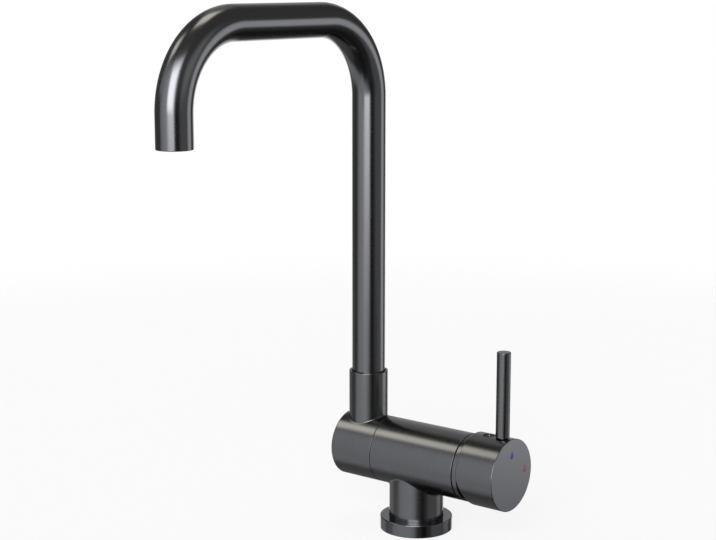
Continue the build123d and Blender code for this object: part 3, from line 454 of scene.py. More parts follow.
# Cards, lamps and black flags round the tap. A later one hangs in front of an earlier one. The azimuth is
# counted from the camera towards the picture's right. Angles, half sizes and soft edges are in degrees.
CARDS = (
    # name, azimuth, elevation, roll, half width, half height, soft edge, level, tone
    ("room floor", 30, -75, 0, 60, 50, 20, 0.06, NEUTRAL),
    ("left wall", -55, 0, 0, 45, 40, 10, 0.7, COOL),
    ("left low wall", -40, -25, 0, 35, 10, 10, 0.8, COOL),
    ("left low bounce", -100, -35, 0, 35, 15, 10, 0.65, COOL),
    ("left low flag", -95, -5, 0, 15, 15, 5, 0.15, COOL),
    ("soft box", -15, 20, 0, 25, 28, 5, 3.0, COOL),
    ("key lamp", -110, 50, -20, 15, 10, 5, 2.5, WARM),
    ("left top flag", -140, 50, 0, 15, 20, 5, 0.12, WARM),
    ("back left wall", 180, 40, 0, 15, 20, 5, 0.4, NEUTRAL),
    ("top lamp", 175, 75, 0, 12, 12, 5, 2.6, WARM),
    ("right glow", 65, 12, 0, 20, 15, 10, 0.6, COOL),
    ("right low grey", 70, -12, 0, 20, 15, 5, 0.3, COOL),
    ("right lamp", 109, -6, 0, 14, 12, 5, 1.3, COOL),
    ("front flag", 25, -8, 0, 9, 15, 5, 0.02, NEUTRAL),
    ("right low flag", 60, -65, 0, 60, 10, 10, 0.03, NEUTRAL),
    ("back right flag", 155, 15, 0, 20, 25, 10, 0.1, NEUTRAL),
    ("soft box halo", -45, 15, 0, 20, 25, 10, 1.0, COOL),
    ("low left", -150, -65, 0, 25, 20, 10, 0.2, NEUTRAL),
    ("soft box core", -15, 20, 0, 17, 20, 5, 5.7, COOL),
    ("back wall", 178, 18, 0, 14, 14, 5, 0.5, NEUTRAL),
    # The last card is the white backdrop behind the tap.
    ("backdrop", 180, -14, 0, 25, 12, 6, 1.0, NEUTRAL),
)


def make_card_group():
    """Mask of one soft-edged card, from the directions in which it faces, its width and its height run."""
    inputs = dict.fromkeys(("Direction", "Facing", "Across", "Up"), ALONG_Z)
    inputs |= dict.fromkeys(("Half width", "Half height", "Soft edge"), 10.0)
    tree, given, result = start_group("Studio card", inputs, ["Mask"])
    facing, across, up = [
        vector_calc(tree, "DOT_PRODUCT", given["Direction"], given[name], output=1)
        for name in ("Facing", "Across", "Up")
    ]
    across = calc(tree, "ABSOLUTE", calc(tree, "DEGREES", calc(tree, "ARCTAN2", across, facing)))
    up = calc(tree, "ABSOLUTE", calc(tree, "DEGREES", calc(tree, "ARCSINE", up)))
    sides = []
    for angle, half in ((across, given["Half width"]), (up, given["Half height"])):
        inner = calc(tree, "SUBTRACT", half, given["Soft edge"])
        outer = calc(tree, "ADD", half, given["Soft edge"])
        sides.append(remap(tree, angle, inner, outer, 1.0, 0.0))
    tree.links.new(calc(tree, "MULTIPLY", *sides), result["Mask"])
    return tree


def card_axes(azimuth, elevation, roll):
    """Directions in which a card faces, its width and its height run."""
    turn = radians(azimuth + camera_azimuth)
    tilt = radians(elevation)
    facing = Vector((cos(tilt) * sin(turn), -cos(tilt) * cos(turn), sin(tilt)))
    level = Vector((cos(turn), sin(turn), 0.0))
    upright = level.cross(facing) * -1.0
    across = level * cos(radians(roll)) + upright * sin(radians(roll))
    return facing, across, upright * cos(radians(roll)) - level * sin(radians(roll))


def make_world():
    """Studio of cards and soft lamps, white for the camera and, behind the tap, for mirrored rays too."""
    world = bpy.data.worlds.new("studio")
    world.use_nodes = True
    bpy.context.scene.world = world
    tree = world.node_tree
    tree.nodes.clear()
    direction = add(tree, "ShaderNodeTexCoord").outputs["Generated"]
    card_group = make_card_group()
    colour = (ROOM_LEVEL, ROOM_LEVEL, ROOM_LEVEL, 1.0)
    for name, azimuth, elevation, roll, half_width, half_height, soft_edge, level, tone in CARDS:
        facing, across, up = card_axes(azimuth, elevation, roll)
        inputs = {"Direction": direction, "Facing": facing, "Across": across, "Up": up}
        inputs |= {"Half width": half_width, "Half height": half_height, "Soft edge": soft_edge}
        card = add(tree, "ShaderNodeGroup", inputs, node_tree=card_group, label=name)
        shade = (*(level * part for part in tone), 1.0)
        colour = blend_colours(tree, card.outputs["Mask"], colour, shade)
    rays = add(tree, "ShaderNodeLightPath").outputs
    mirrored = calc(tree, "MAXIMUM", rays["Is Glossy Ray"], rays["Is Transmission Ray"])
    behind_tap = calc(tree, "MULTIPLY", mirrored, card.outputs["Mask"])
    backdrop = calc(tree, "MAXIMUM", rays["Is Camera Ray"], behind_tap)
    studio = add(tree, "ShaderNodeBackground", {0: colour, 1: 1.0}).outputs[0]
    white = add(tree, "ShaderNodeBackground", {0: WHITE, 1: 1.0}).outputs[0]
    shown = add(tree, "ShaderNodeMixShader", {0: backdrop, 1: studio, 2: white}).outputs[0]
    add(tree, "ShaderNodeOutputWorld", {0: shown})


# Floor, in metres
FLOOR_RADIUS = 1.2
FLOOR_DROP = 0.0001
FLOOR_FADE_START = 0.55 * FLOOR_RADIUS
FLOOR_FADE_END = 0.95 * FLOOR_RADIUS
FLOOR_COLOUR = (0.95, 0.95, 0.95, 1.0)
FLOOR_WHITE_SHARE = 0.85


def make_floor():
    """Pale floor that fades into the white background, keeps the tap's shadow and is clear from below."""
    mesh = bpy.data.meshes.new("floor")
    shape = bmesh.new()
    bmesh.ops.create_circle(shape, cap_ends=True, segments=SMALL_SEGMENTS, radius=FLOOR_RADIUS)
    shape.to_mesh(mesh)
    shape.free()
    floor = bpy.data.objects.new("floor", mesh)
    floor.location.z = -FLOOR_DROP
    bpy.context.scene.collection.objects.link(floor)
    floor.visible_glossy = False
    material = bpy.data.materials.new("pale_floor")
    material.use_nodes = True
    tree = material.node_tree
    tree.nodes.clear()
    distance = vector_calc(tree, "LENGTH", own_place(tree), output=1)
    fade = remap(tree, distance, FLOOR_FADE_START, FLOOR_FADE_END)
    paint = add(tree, "ShaderNodeBsdfDiffuse", {0: FLOOR_COLOUR}).outputs[0]
    white = add(tree, "ShaderNodeEmission", {0: WHITE, 1: 1.0}).outputs[0]
    camera_ray = add(tree, "ShaderNodeLightPath").outputs["Is Camera Ray"]
    share = calc(tree, "MULTIPLY", camera_ray, FLOOR_WHITE_SHARE)
    paint = add(tree, "ShaderNodeMixShader", {0: share, 1: paint, 2: white}).outputs[0]
    clear = add(tree, "ShaderNodeBsdfTransparent").outputs[0]
    from_below = add(tree, "ShaderNodeNewGeometry").outputs["Backfacing"]
    clear_share = calc(tree, "MAXIMUM", fade, from_below)
    surface = add(tree, "ShaderNodeMixShader", {0: clear_share, 1: paint, 2: clear}).outputs[0]
    add(tree, "ShaderNodeOutputMaterial", {0: surface})
    mesh.materials.append(material)


# Shared finishes
STREAKS_PER_METRE = 25.0
FINE_GRAIN_SCALE = 4.7
FINE_GRAIN_HEIGHT = 0.25
MARKS_START = 0.75
MARKS_FADE = 0.25


def make_turned_grain():
    """Fine rings left by a lathe tool or a brush around an axis, in uneven streaks."""
    inputs = {"Centre": (0.0, 0.0, 0.0), "Axis": ALONG_Z, "Lines per metre": 1500.0}
    tree, given, result = start_group("Turned grain", inputs, ["Height", "Tone"])
    place = vector_calc(tree, "SUBTRACT", own_place(tree), given["Centre"])
    along = vector_calc(tree, "DOT_PRODUCT", place, given["Axis"], output=1)
    across = vector_calc(tree, "SUBTRACT", place, scaled(tree, given["Axis"], along))
    radial = vector_calc(tree, "LENGTH", across, output=1)
    rings = calc(tree, "MULTIPLY", calc(tree, "ADD", along, radial), given["Lines per metre"])
    streaks = scaled(tree, across, STREAKS_PER_METRE)
    laid = vector_calc(tree, "ADD", streaks, scaled(tree, given["Axis"], rings))
    coarse = noise(tree, laid, 1.0, roughness=0.6)
    fine = noise(tree, laid, FINE_GRAIN_SCALE, detail=1.0)
    tree.links.new(calc(tree, "MULTIPLY_ADD", fine, FINE_GRAIN_HEIGHT, coarse), result["Height"])
    both = calc(tree, "MULTIPLY_ADD", fine, 0.5, calc(tree, "MULTIPLY", coarse, 0.5))
    tree.links.new(calc(tree, "SUBTRACT", both, 0.5), result["Tone"])
    return tree


def make_satin_grain():
    """Even bead-blasted grain with hardly any direction."""
    tree, given, result = start_group("Satin grain", {"Grains per metre": 2500.0}, ["Height", "Tone"])
    laid = scaled(tree, own_place(tree), given["Grains per metre"])
    grain = noise(tree, laid, 1.0)
    tree.links.new(grain, result["Height"])
    tree.links.new(calc(tree, "SUBTRACT", grain, 0.5), result["Tone"])
    return tree


def make_handling_marks():
    """Faint wiped film and finger marks, from 0 where the surface is clean to 1."""
    tree, given, result = start_group("Handling marks", {"Scale": 28.0, "Cover": 0.45}, ["Mask"])
    film = noise(tree, own_place(tree), given["Scale"], detail=4.0, roughness=0.55, distortion=0.6)
    low = calc(tree, "SUBTRACT", MARKS_START, calc(tree, "MULTIPLY", given["Cover"], 0.5))
    tree.links.new(remap(tree, film, low, calc(tree, "ADD", low, MARKS_FADE)), result["Mask"])
    return tree


turned_grain = make_turned_grain()
satin_grain = make_satin_grain()
handling_marks = make_handling_marks()


def start_material(name):
    """Material with a Principled shader."""
    material = bpy.data.materials.new(name)
    material.use_nodes = True
    tree = material.node_tree
    tree.nodes.clear()
    shader = add(tree, "ShaderNodeBsdfPrincipled")
    add(tree, "ShaderNodeOutputMaterial", {0: shader.outputs[0]})
    return material, tree, shader


def use_group(tree, group, inputs=None):
    """A shared finish placed in a material with its own values."""
    return add(tree, "ShaderNodeGroup", inputs, node_tree=group).outputs


def turned_rings(tree, centre, axis, look):
    """Turned grain around an axis through a point in metres."""
    inputs = {"Centre": centre, "Axis": axis, "Lines per metre": look["lines"]}
    return use_group(tree, turned_grain, inputs)


def add_relief(tree, shader, strength, depth, height):
    """Fine relief in a surface, at most as deep as the given depth in metres."""
    bump = add(tree, "ShaderNodeBump", {"Strength": strength, "Distance": depth, "Height": height})
    tree.links.new(bump.outputs[0], shader.inputs["Normal"])


def speckled(tree, factor, colour, spread):
    """A colour that runs from a darker to a lighter tone."""
    tones = [(*(min(1.0, part * share) for part in colour), 1.0) for share in (1 - spread, 1 + spread)]
    return blend_colours(tree, factor, *tones)


# Reliefs are in metres, blends in millimetres
TONE_GAIN = 1.5
METAL_RELIEF = 0.0002
FINE_RELIEF = 0.0001
FACE_BLEND = (0.2, 0.05)
BRANCH_BLEND = (0.1, 0.5)
MOULDED_SPREAD = 0.1


def wire_metal(tree, shader, colour, height, tone, look):
    """Links the grain of a bare metal to its colour, roughness and normal."""
    film = use_group(tree, handling_marks)
    shade = calc(tree, "ADD", calc(tree, "MULTIPLY", tone, TONE_GAIN), 0.5, clamp=True)
    tree.links.new(speckled(tree, shade, colour, look["tone"]), shader.inputs["Base Color"])
    spread = calc(tree, "MULTIPLY_ADD", tone, look["spread"], look["roughness"])
    spread = calc(tree, "MULTIPLY_ADD", film["Mask"], look["marks"], spread, clamp=True)
    tree.links.new(spread, shader.inputs["Roughness"])
    add_relief(tree, shader, look["bump"], METAL_RELIEF, height)
    shader.inputs["Metallic"].default_value = 1.0


GUNMETAL = (0.160, 0.160, 0.162)
# Lighter, cooler gunmetal for the cap's end face: painted light, standing in for the end face being lit more
# brightly
PAINTED_LIT_END_GUNMETAL = (0.186, 0.187, 0.194)
BRASS = (0.72, 0.49, 0.22)
STEEL = (0.60, 0.60, 0.59)
TURNED = {"tone": 0.10, "spread": 0.08, "roughness": 0.20, "marks": 0.04, "bump": 0.007, "lines": 1600.0}
POLISHED = {"tone": 0.05, "spread": 0.04, "roughness": 0.10, "marks": 0.04, "bump": 0.003, "lines": 1600.0}
SATIN = {"tone": 0.03, "spread": 0.03, "roughness": 0.19, "marks": 0.03, "bump": 0.003, "lines": 2500.0}


def turned_metal(name, centre, axis, look=TURNED):
    """Gunmetal with fine rings around an axis. The centre is in millimetres."""
    material, tree, shader = start_material(name)
    grain = turned_rings(tree, Vector(centre) * MM, axis, look)
    wire_metal(tree, shader, GUNMETAL, grain["Height"], grain["Tone"], look)
    return material


def cap_metal(name):
    """Gunmetal of the handle cap, with painted light: a little lighter and cooler on its end face."""
    material = turned_metal(name, (0.0, 0.0, cap_axis_z), ALONG_X)
    tree = material.node_tree
    along = vector_calc(tree, "DOT_PRODUCT", own_place(tree), ALONG_X, output=1)
    painted_lit_end = remap(tree, along, *((cap_high.x - short) * MM for short in FACE_BLEND))
    shader = next(node for node in tree.nodes if node.type == "BSDF_PRINCIPLED")
    plain = shader.inputs["Base Color"].links[0].from_socket
    # Painted light: the end face gets the lighter, cooler gunmetal
    base = blend_colours(tree, painted_lit_end, plain, (*PAINTED_LIT_END_GUNMETAL, 1.0))
    tree.links.new(base, shader.inputs["Base Color"])
    return material


def satin_metal(name, colour):
    """Metal with an even, very fine grain."""
    material, tree, shader = start_material(name)
    grain = use_group(tree, satin_grain, {"Grains per metre": SATIN["lines"]})
    wire_metal(tree, shader, colour, grain["Height"], grain["Tone"], SATIN)
    return material


def branched_metal(name, branch_x):
    """Gunmetal of a barrel with an upright branch: rings around the barrel and, beyond it, the branch."""
    material, tree, shader = start_material(name)
    barrel = Vector((0.0, 0.0, axis_z)) * MM
    on_barrel = turned_rings(tree, barrel, ALONG_X, TURNED)
    on_branch = turned_rings(tree, Vector((branch_x, 0.0, 0.0)) * MM, ALONG_Z, TURNED)
    offset = vector_calc(tree, "SUBTRACT", own_place(tree), barrel)
    across = vector_calc(tree, "MULTIPLY", offset, (0.0, 1.0, 1.0))
    distance = vector_calc(tree, "LENGTH", across, output=1)
    beyond = remap(tree, distance, *((barrel_radius + gap) * MM for gap in BRANCH_BLEND))
    height, tone = [
        add(tree, "ShaderNodeMix", {0: beyond, 2: on_barrel[part], 3: on_branch[part]}).outputs[0]
        for part in ("Height", "Tone")
    ]
    wire_metal(tree, shader, GUNMETAL, height, tone, TURNED)
    return material


def moulded(name, colour, roughness, speckle=0.06, scale=900.0, bump=0.05):
    """Moulded or fired surface with a fine speckle."""
    material, tree, shader = start_material(name)
    grain = noise(tree, own_place(tree), scale, detail=3.0)
    tree.links.new(speckled(tree, grain, colour, speckle), shader.inputs["Base Color"])
    lowest = roughness - MOULDED_SPREAD / 2
    spread = calc(tree, "MULTIPLY_ADD", grain, MOULDED_SPREAD, lowest, clamp=True)
    tree.links.new(spread, shader.inputs["Roughness"])
    add_relief(tree, shader, bump, FINE_RELIEF, grain)
    return material


PLUG_BUTTON_RADIUS = 1.55
PLUG_BUTTON_BLEND = 0.03
PLUG_GRAIN_SCALE = 1500.0
PLUG_HEAD_SPECKLE = 0.2
PLUG_BUTTON_SPECKLE = 0.03
PLUG_HEAD_ROUGHNESS = 0.75
PLUG_BUTTON_ROUGHNESS = 0.20
PLUG_BUMP = 0.02


def plug_finish(name, head_colour, button_colour):
    """Matt black head with a polished metal button in its middle."""
    material, tree, shader = start_material(name)
    place = own_place(tree)
    offset = vector_calc(tree, "SUBTRACT", place, Vector((plug_x, 0.0, 0.0)) * MM)
    across = vector_calc(tree, "MULTIPLY", offset, (1.0, 1.0, 0.0))
    distance = vector_calc(tree, "LENGTH", across, output=1)
    edge = PLUG_BUTTON_RADIUS * MM
    blend = PLUG_BUTTON_BLEND * edge
    button = remap(tree, distance, edge - blend, edge + blend, 1.0, 0.0)
    grain = noise(tree, place, PLUG_GRAIN_SCALE)
    head = speckled(tree, grain, head_colour, PLUG_HEAD_SPECKLE)
    bare = speckled(tree, grain, button_colour, PLUG_BUTTON_SPECKLE)
    tree.links.new(blend_colours(tree, button, head, bare), shader.inputs["Base Color"])
    tree.links.new(button, shader.inputs["Metallic"])
    step = PLUG_BUTTON_ROUGHNESS - PLUG_HEAD_ROUGHNESS
    spread = calc(tree, "MULTIPLY_ADD", button, step, PLUG_HEAD_ROUGHNESS)
    tree.links.new(spread, shader.inputs["Roughness"])
    add_relief(tree, shader, PLUG_BUMP, FINE_RELIEF, grain)
    return material


finishes = {
    "body_casting": branched_metal("gunmetal_body", 0.0),
    "carrier_casting": branched_metal("gunmetal_carrier", riser_x),
    "turned_barrel": turned_metal("gunmetal_barrel", (0.0, 0.0, axis_z), ALONG_X),
    "handle_cap": cap_metal("gunmetal_cap"),
    "flange": turned_metal("gunmetal_flange", (0.0, 0.0, 0.0), ALONG_Z, POLISHED),
    "lever": turned_metal("gunmetal_lever", (lever_x, 0.0, 0.0), ALONG_Z),
    "satin_tube": satin_metal("gunmetal_tube", GUNMETAL),
    "brass": satin_metal("machined_brass", BRASS),
    "steel": satin_metal("plain_steel", STEEL),
    "rubber": moulded("seal_rubber", (0.022, 0.022, 0.023), 0.55, speckle=0.2),
    "ceramic": moulded("disc_ceramic", (0.86, 0.84, 0.80), 0.18, speckle=0.02, bump=0.01),
    "bearing": moulded("bearing_plastic", (0.78, 0.77, 0.73), 0.42, speckle=0.04),
    "plug": plug_finish("plug_black", (0.010, 0.010, 0.011), GUNMETAL),
    "blue": moulded("mark_blue", (0.040, 0.035, 0.300), 0.35, speckle=0.1, bump=0.02),
    "red": moulded("mark_red", (0.330, 0.045, 0.050), 0.35, speckle=0.1, bump=0.02),
}

FINISH_OF_NODE = {
    "brass": "fold_spindle spout_nipple cartridge_nut aerator_sleeve",
    "steel": "fold_disc_spring fold_circlip fold_stop_pin spout_retaining_screw handle_grub_screw "
    "cartridge_pivot_pin cartridge_stem",
    "rubber": "deck_gasket fold_o_rings spout_o_rings port_seals aerator_seal",
    "ceramic": "fixed_disc moving_disc",
    "bearing": "fold_friction_ring fold_slip_washer spout_slip_ring disc_slider cartridge_housing "
    "cartridge_base cartridge_rotor aerator_housing aerator_insert aerator_screen",
}


def dress_nodes():
    """Gives each node that is carried over its finish."""
    for finish, names in FINISH_OF_NODE.items():
        for name in names.split():
            mesh = cad[name].data
            mesh.materials.clear()
            mesh.materials.append(finishes[finish])


def dress(piece, finish, body, slot, *nodes, sharp_angle=35.0):
    """Smooths a piece, gives it its finish and body, and hides the nodes that it stands for. The slot is not
    used.
    """
    smooth(piece, sharp_angle)
    piece.data.materials.clear()
    piece.data.materials.append(finishes[finish])
    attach(piece, body)
    if nodes:
        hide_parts(*nodes)


# Base
FLANGE_EDGE = 0.5
STEM_RADIUS = 18.0
STEM_FOOT_Z = 5.5
SEAT_CLEARANCE = 0.1
SPIGOT_RADIUS = 15.4
GASKET_INNER = 17.7
GASKET_OUTER = 21.3
GASKET_HEIGHT = 1.9


def make_flange():
    """Deck flange: a turned ring with a seat for the stem's foot and a groove for the gasket."""
    radius = (flange_high.x - flange_low.x) / 2
    top = flange_high.z
    seat = STEM_RADIUS + SEAT_CLEARANCE
    bore = SPIGOT_RADIUS + SEAT_CLEARANCE
    corners = [
        (0.0, radius, INNER_EDGE),
        (top, radius, FLANGE_EDGE),
        (top, seat, INNER_EDGE),
        (STEM_FOOT_Z, seat, STEP_EDGE),
        (STEM_FOOT_Z, bore, STEP_EDGE),
        (0.0, bore, STEP_EDGE),
        (0.0, GASKET_INNER, STEP_EDGE),
        (GASKET_HEIGHT, GASKET_INNER, STEP_EDGE),
        (GASKET_HEIGHT, GASKET_OUTER, STEP_EDGE),
        (0.0, GASKET_OUTER, STEP_EDGE),
    ]
    dress(turned("deck_flange", corners, "Z"), "flange", "root", "gunmetal", "base_flange")


# Mixer body
BODY_EDGE = 0.25
SEAM_EDGE = 0.15
STEM_FILLET = 2.0
MOUTH_RADIUS = 19.2
MOUTH_DEPTH = 7.0
CHAMBER_RADIUS = 17.55
CHAMBER_FLOOR_X = 7.98
SOCKET_RADIUS = 10.0
SOCKET_DEPTH = 14.0
HOSE_X = 3.5
HOSE_Y = 7.5
STUD_X = -8.5
SPIGOT_END = 1.5
STEM_TOP_Z = 24.0
STEM_WINDOW_MARGIN = 0.7
STEM_WINDOW_END_X = 22.5
STEM_HALF_TURN = 37
M10 = {"crest": 4.5, "root": 5.04, "pitch": 1.0, "length": 12.0}
M8 = {"crest": 3.4, "root": 4.05, "pitch": 1.25, "length": 16.0}
FOOT_THREADS = (
    ("cold_hose_thread", M10, HOSE_X, HOSE_Y),
    ("hot_hose_thread", M10, HOSE_X, -HOSE_Y),
    ("fixing_stud_thread", M8, STUD_X, 0.0),
)
PAST_FACE = 1.0
LEAD_IN = 0.5
DRILL_TIP_STEP = 0.8
DRILL_TIP_DEPTH = 2.0
THREAD_SEGMENTS = 72
THREAD_STEPS = 10
THREAD_SHARP_ANGLE = 60.0
FLANK_SLOPE = 2.4
FLANK_OFFSET = 0.1
LINER_LAP = 0.03


def thread_hole(thread, x, y):
    """Cutting tool for a threaded hole: a bore as wide as the thread's root, with a drill's tip."""
    top = SPIGOT_END + thread["length"]
    corners = [
        (SPIGOT_END - PAST_FACE, 0.0, 0),
        (SPIGOT_END - PAST_FACE, thread["root"] + PAST_FACE + LEAD_IN, 0),
        (SPIGOT_END + LEAD_IN, thread["root"], 0),
        (top, thread["root"], 0),
        (top, thread["crest"] - DRILL_TIP_STEP, 0),
        (top + DRILL_TIP_DEPTH, 0.0, 0),
    ]
    return turned("thread_hole", corners, "Z", (x, y), SMALL_SEGMENTS)


def thread_liner(name, thread, x, y):
    """Internal thread: a thin sleeve. Its inner wall follows the helix, and its last two rings are plain."""
    depth = thread["root"] - thread["crest"]
    rows = int(thread["length"] / thread["pitch"] * THREAD_STEPS)
    heights = [thread["length"] * row / rows for row in range(rows + 1)]
    shape = bmesh.new()
    rings = []
    for index, height in enumerate(heights + [thread["length"], 0.0]):
        ring = []
        for step in range(THREAD_SEGMENTS):
            turn = step / THREAD_SEGMENTS
            phase = (height / thread["pitch"] - turn) % 1.0
            flank = min(1.0, max(0.0, FLANK_SLOPE * abs(phase - 0.5) - FLANK_OFFSET))
            radius = thread["root"] + (-depth * flank if index <= rows else LINER_LAP)
            angle = 2 * pi * turn
            place = (x + radius * cos(angle), y + radius * sin(angle), SPIGOT_END + height)
            ring.append(shape.verts.new(place))
        rings.append(ring)
    link_rows(shape, rings, closed=True)
    dress(finish_mesh(name, shape), "brass", "root", "brass", sharp_angle=THREAD_SHARP_ANGLE)


def make_body():
    """Mixer body: barrel and stem in one, with the cartridge's chamber and three threads in its foot."""
    left, right = body_low.x, body_high.x
    corners = solid(
        (left + SOCKET_DEPTH, SOCKET_RADIUS, MOUTH_EDGE),
        (left, SOCKET_RADIUS, INNER_EDGE),
        (left, barrel_radius, SEAM_EDGE),
        (right, barrel_radius, BODY_EDGE),
        (right, MOUTH_RADIUS, MOUTH_EDGE),
        (right - MOUTH_DEPTH, MOUTH_RADIUS, INNER_EDGE),
        (right - MOUTH_DEPTH, CHAMBER_RADIUS, INNER_EDGE),
        (CHAMBER_FLOOR_X, CHAMBER_RADIUS, MOUTH_EDGE),
    )
    branch = {
        "x": 0.0,
        "side": -1,
        "radius": STEM_RADIUS,
        "fillet": STEM_FILLET,
        "window": (left + STEM_WINDOW_MARGIN, STEM_WINDOW_END_X),
        "half_turn": STEM_HALF_TURN,
    }
    foot = [
        (STEM_TOP_Z, STEM_RADIUS, 0),
        (STEM_FOOT_Z, STEM_RADIUS, MOUTH_EDGE),
        (STEM_FOOT_Z, SPIGOT_RADIUS, STEP_EDGE),
        (SPIGOT_END, SPIGOT_RADIUS, RIM_EDGE),
        (SPIGOT_END, 0.0, 0),
    ]
    body = branched("mixer_body_casting", corners, branch, foot)
    cut(body, *(thread_hole(thread, x, y) for name, thread, x, y in FOOT_THREADS))
    dress(body, "body_casting", "root", "gunmetal", "mixer_body")
    for name, thread, x, y in FOOT_THREADS:
        thread_liner(name, thread, x, y)


# Spout carrier
CARRIER_EDGE = 1.0
COVER_SEAT_RADIUS = 17.0
COVER_THICKNESS = 1.8
BORE_RADIUS = 12.0
POCKET_RADIUS = 15.5
POCKET_END_X = -49.5
COLLAR_RADIUS = 13.0
COLLAR_FILLET = 0.7
COLLAR_INNER_EDGE = 0.5
ENTRY_RADIUS = 11.3
ENTRY_DEPTH = 10.0
NIPPLE_SOCKET_RADIUS = 9.95
NIPPLE_SOCKET_Z = 67.9
COLLAR_FOOT_Z = 73.0
COLLAR_WINDOW_LEFT = 13.95
COLLAR_WINDOW_RIGHT = 16.9
COLLAR_HALF_TURN = 28
RETAINER_Z = 86.0
RETAINER_RADIUS = 2.5
RETAINER_CHAMFER = 0.65
RETAINER_PAST_COLLAR = 0.2


def make_carrier():
    """Spout carrier: the left part of the barrel with the upright collar."""
    left, right = carrier_low.x, carrier_high.x
    top = carrier_high.z
    corners = [
        (left, COVER_SEAT_RADIUS, SEAM_EDGE),
        (left, barrel_radius, CARRIER_EDGE),
        (right, barrel_radius, SEAM_EDGE),
        (right, BORE_RADIUS, INNER_EDGE),
        (POCKET_END_X, BORE_RADIUS, STEP_EDGE),
        (POCKET_END_X, POCKET_RADIUS, STEP_EDGE),
        (left + COVER_THICKNESS, POCKET_RADIUS, STEP_EDGE),
        (left + COVER_THICKNESS, COVER_SEAT_RADIUS, STEP_EDGE),
    ]
    branch = {
        "x": riser_x,
        "side": 1,
        "radius": COLLAR_RADIUS,
        "fillet": COLLAR_FILLET,
        "window": (riser_x - COLLAR_WINDOW_LEFT, riser_x + COLLAR_WINDOW_RIGHT),
        "half_turn": COLLAR_HALF_TURN,
    }
    collar = [
        (COLLAR_FOOT_Z, COLLAR_RADIUS, 0),
        (top, COLLAR_RADIUS, RIM_EDGE),
        (top, ENTRY_RADIUS, COLLAR_INNER_EDGE),
        (top - ENTRY_DEPTH, ENTRY_RADIUS, STEP_EDGE),
        (top - ENTRY_DEPTH, NIPPLE_SOCKET_RADIUS, INNER_EDGE),
        (NIPPLE_SOCKET_Z, NIPPLE_SOCKET_RADIUS, INNER_EDGE),
        (NIPPLE_SOCKET_Z, 0.0, 0),
    ]
    carrier = branched("carrier_casting", corners, branch, collar)
    end = COLLAR_RADIUS + RETAINER_PAST_COLLAR
    hole = solid(
        (NIPPLE_SOCKET_RADIUS - PAST_FACE, RETAINER_RADIUS, 0),
        (end - RETAINER_CHAMFER, RETAINER_RADIUS, 0),
        (end, RETAINER_RADIUS + RETAINER_CHAMFER, 0),
    )
    cut(carrier, turned("retainer_hole", hole, "Y", (riser_x, RETAINER_Z), HOLE_SEGMENTS))
    dress(carrier, "carrier_casting", "carrier", "gunmetal", "spout_carrier")


COVER_RADIUS = 16.95
COVER_EDGE = 0.25
SKIRT_RADIUS = 15.4
SKIRT_BORE_RADIUS = 14.4


def make_cover():
    """End cover: a disc let into the carrier's left end, with a short skirt behind it."""
    left = cover_low.x
    back = left + COVER_THICKNESS
    corners = solid(
        (left, COVER_RADIUS, COVER_EDGE),
        (back, COVER_RADIUS, STEP_EDGE),
        (back, SKIRT_RADIUS, STEP_EDGE),
        (cover_high.x, SKIRT_RADIUS, INNER_EDGE),
        (cover_high.x, SKIRT_BORE_RADIUS, INNER_EDGE),
        (back, SKIRT_BORE_RADIUS, INNER_EDGE),
    )
    cover = turned("carrier_end_cover", corners, "X", (0.0, axis_z))
    dress(cover, "turned_barrel", "carrier", "gunmetal", "end_cover")


# Trim ring
TRIM_EDGE = 0.3
TRIM_BACK_X = 43.1
TRIM_SPIGOT_RADIUS = 19.1
TRIM_CAVITY_RADIUS = 17.9
TRIM_WALL_X = 45.05
TRIM_HOLE_RADIUS = 13.0


def make_trim_ring():
    """Trim ring in front of the cartridge's nut, on a spigot in the body's mouth."""
    corners = [
        (TRIM_BACK_X, barrel_radius, TRIM_EDGE),
        (trim_high.x, barrel_radius, TRIM_EDGE),
        (trim_high.x, TRIM_HOLE_RADIUS, INNER_EDGE),
        (TRIM_WALL_X, TRIM_HOLE_RADIUS, INNER_EDGE),
        (TRIM_WALL_X, TRIM_CAVITY_RADIUS, INNER_EDGE),
        (trim_low.x, TRIM_CAVITY_RADIUS, STEP_EDGE),
        (trim_low.x, TRIM_SPIGOT_RADIUS, STEP_EDGE),
        (TRIM_BACK_X, TRIM_SPIGOT_RADIUS, STEP_EDGE),
    ]
    ring = turned("turned_trim_ring", corners, "X", (0.0, axis_z))
    dress(ring, "turned_barrel", "root", "gunmetal", "trim_ring")


# Handle
CAP_EDGE = 0.4
CAP_RIM_EDGE = 0.5
CAP_WALL = 3.0
CAP_END_WALL = 6.0
CUP_FILLET = 1.2
RELIEF_ANGLE = 15.0
RELIEF_REACH = 60.0
RELIEF_DEPTH = 80.0
HUB_X = 50.6
HUB_RADIUS = 8.5
HUB_FILLET = 0.6
HUB_SOCKET_END_X = 63.0
HUB_SOCKET_HALF_WIDTH = 4.05
HUB_SOCKET_HALF_HEIGHT = 4.5
GRUB_ACCESS_RADIUS = 3.2
GRUB_ACCESS_FOOT = 10.0
LEVER_NECK_RADIUS = 2.8
LEVER_NECK_CLEARANCE = 0.1
LEVER_FOOT_GAP = 0.45
LEVER_NECK_DEPTH = 1.5
PLUG_SEAT_DEPTH = 1.0
PLUG_CLEARANCE = 0.35
MARK_RADIUS = 1.7
MARK_TIP_RISE = 3.1
MARK_TIP_RADIUS = 0.3
MARK_DEPTH = 0.5
MARK_FOOT_STEPS = 40
MARK_TIP_STEPS = 12
DOME_SHARP_ANGLE = 50.0
POCKET_GROW = 0.05
ENAMEL_GROW = 0.04
ENAMEL_SINK = 0.12
ENAMEL_CROWN = 0.1
# Share of the crown's height and of the drop's width, row by row
CROWN_ROWS = ((0.0, 1.0), (0.75, 0.82), (1.0, 0.5))


def arc(radius, rise, start, turn, steps):
    """Points on an arc whose centre lies on the drop's middle line."""
    angles = [start + turn * step / steps for step in range(steps + 1)]
    return [(radius * cos(angle), rise + radius * sin(angle)) for angle in angles]


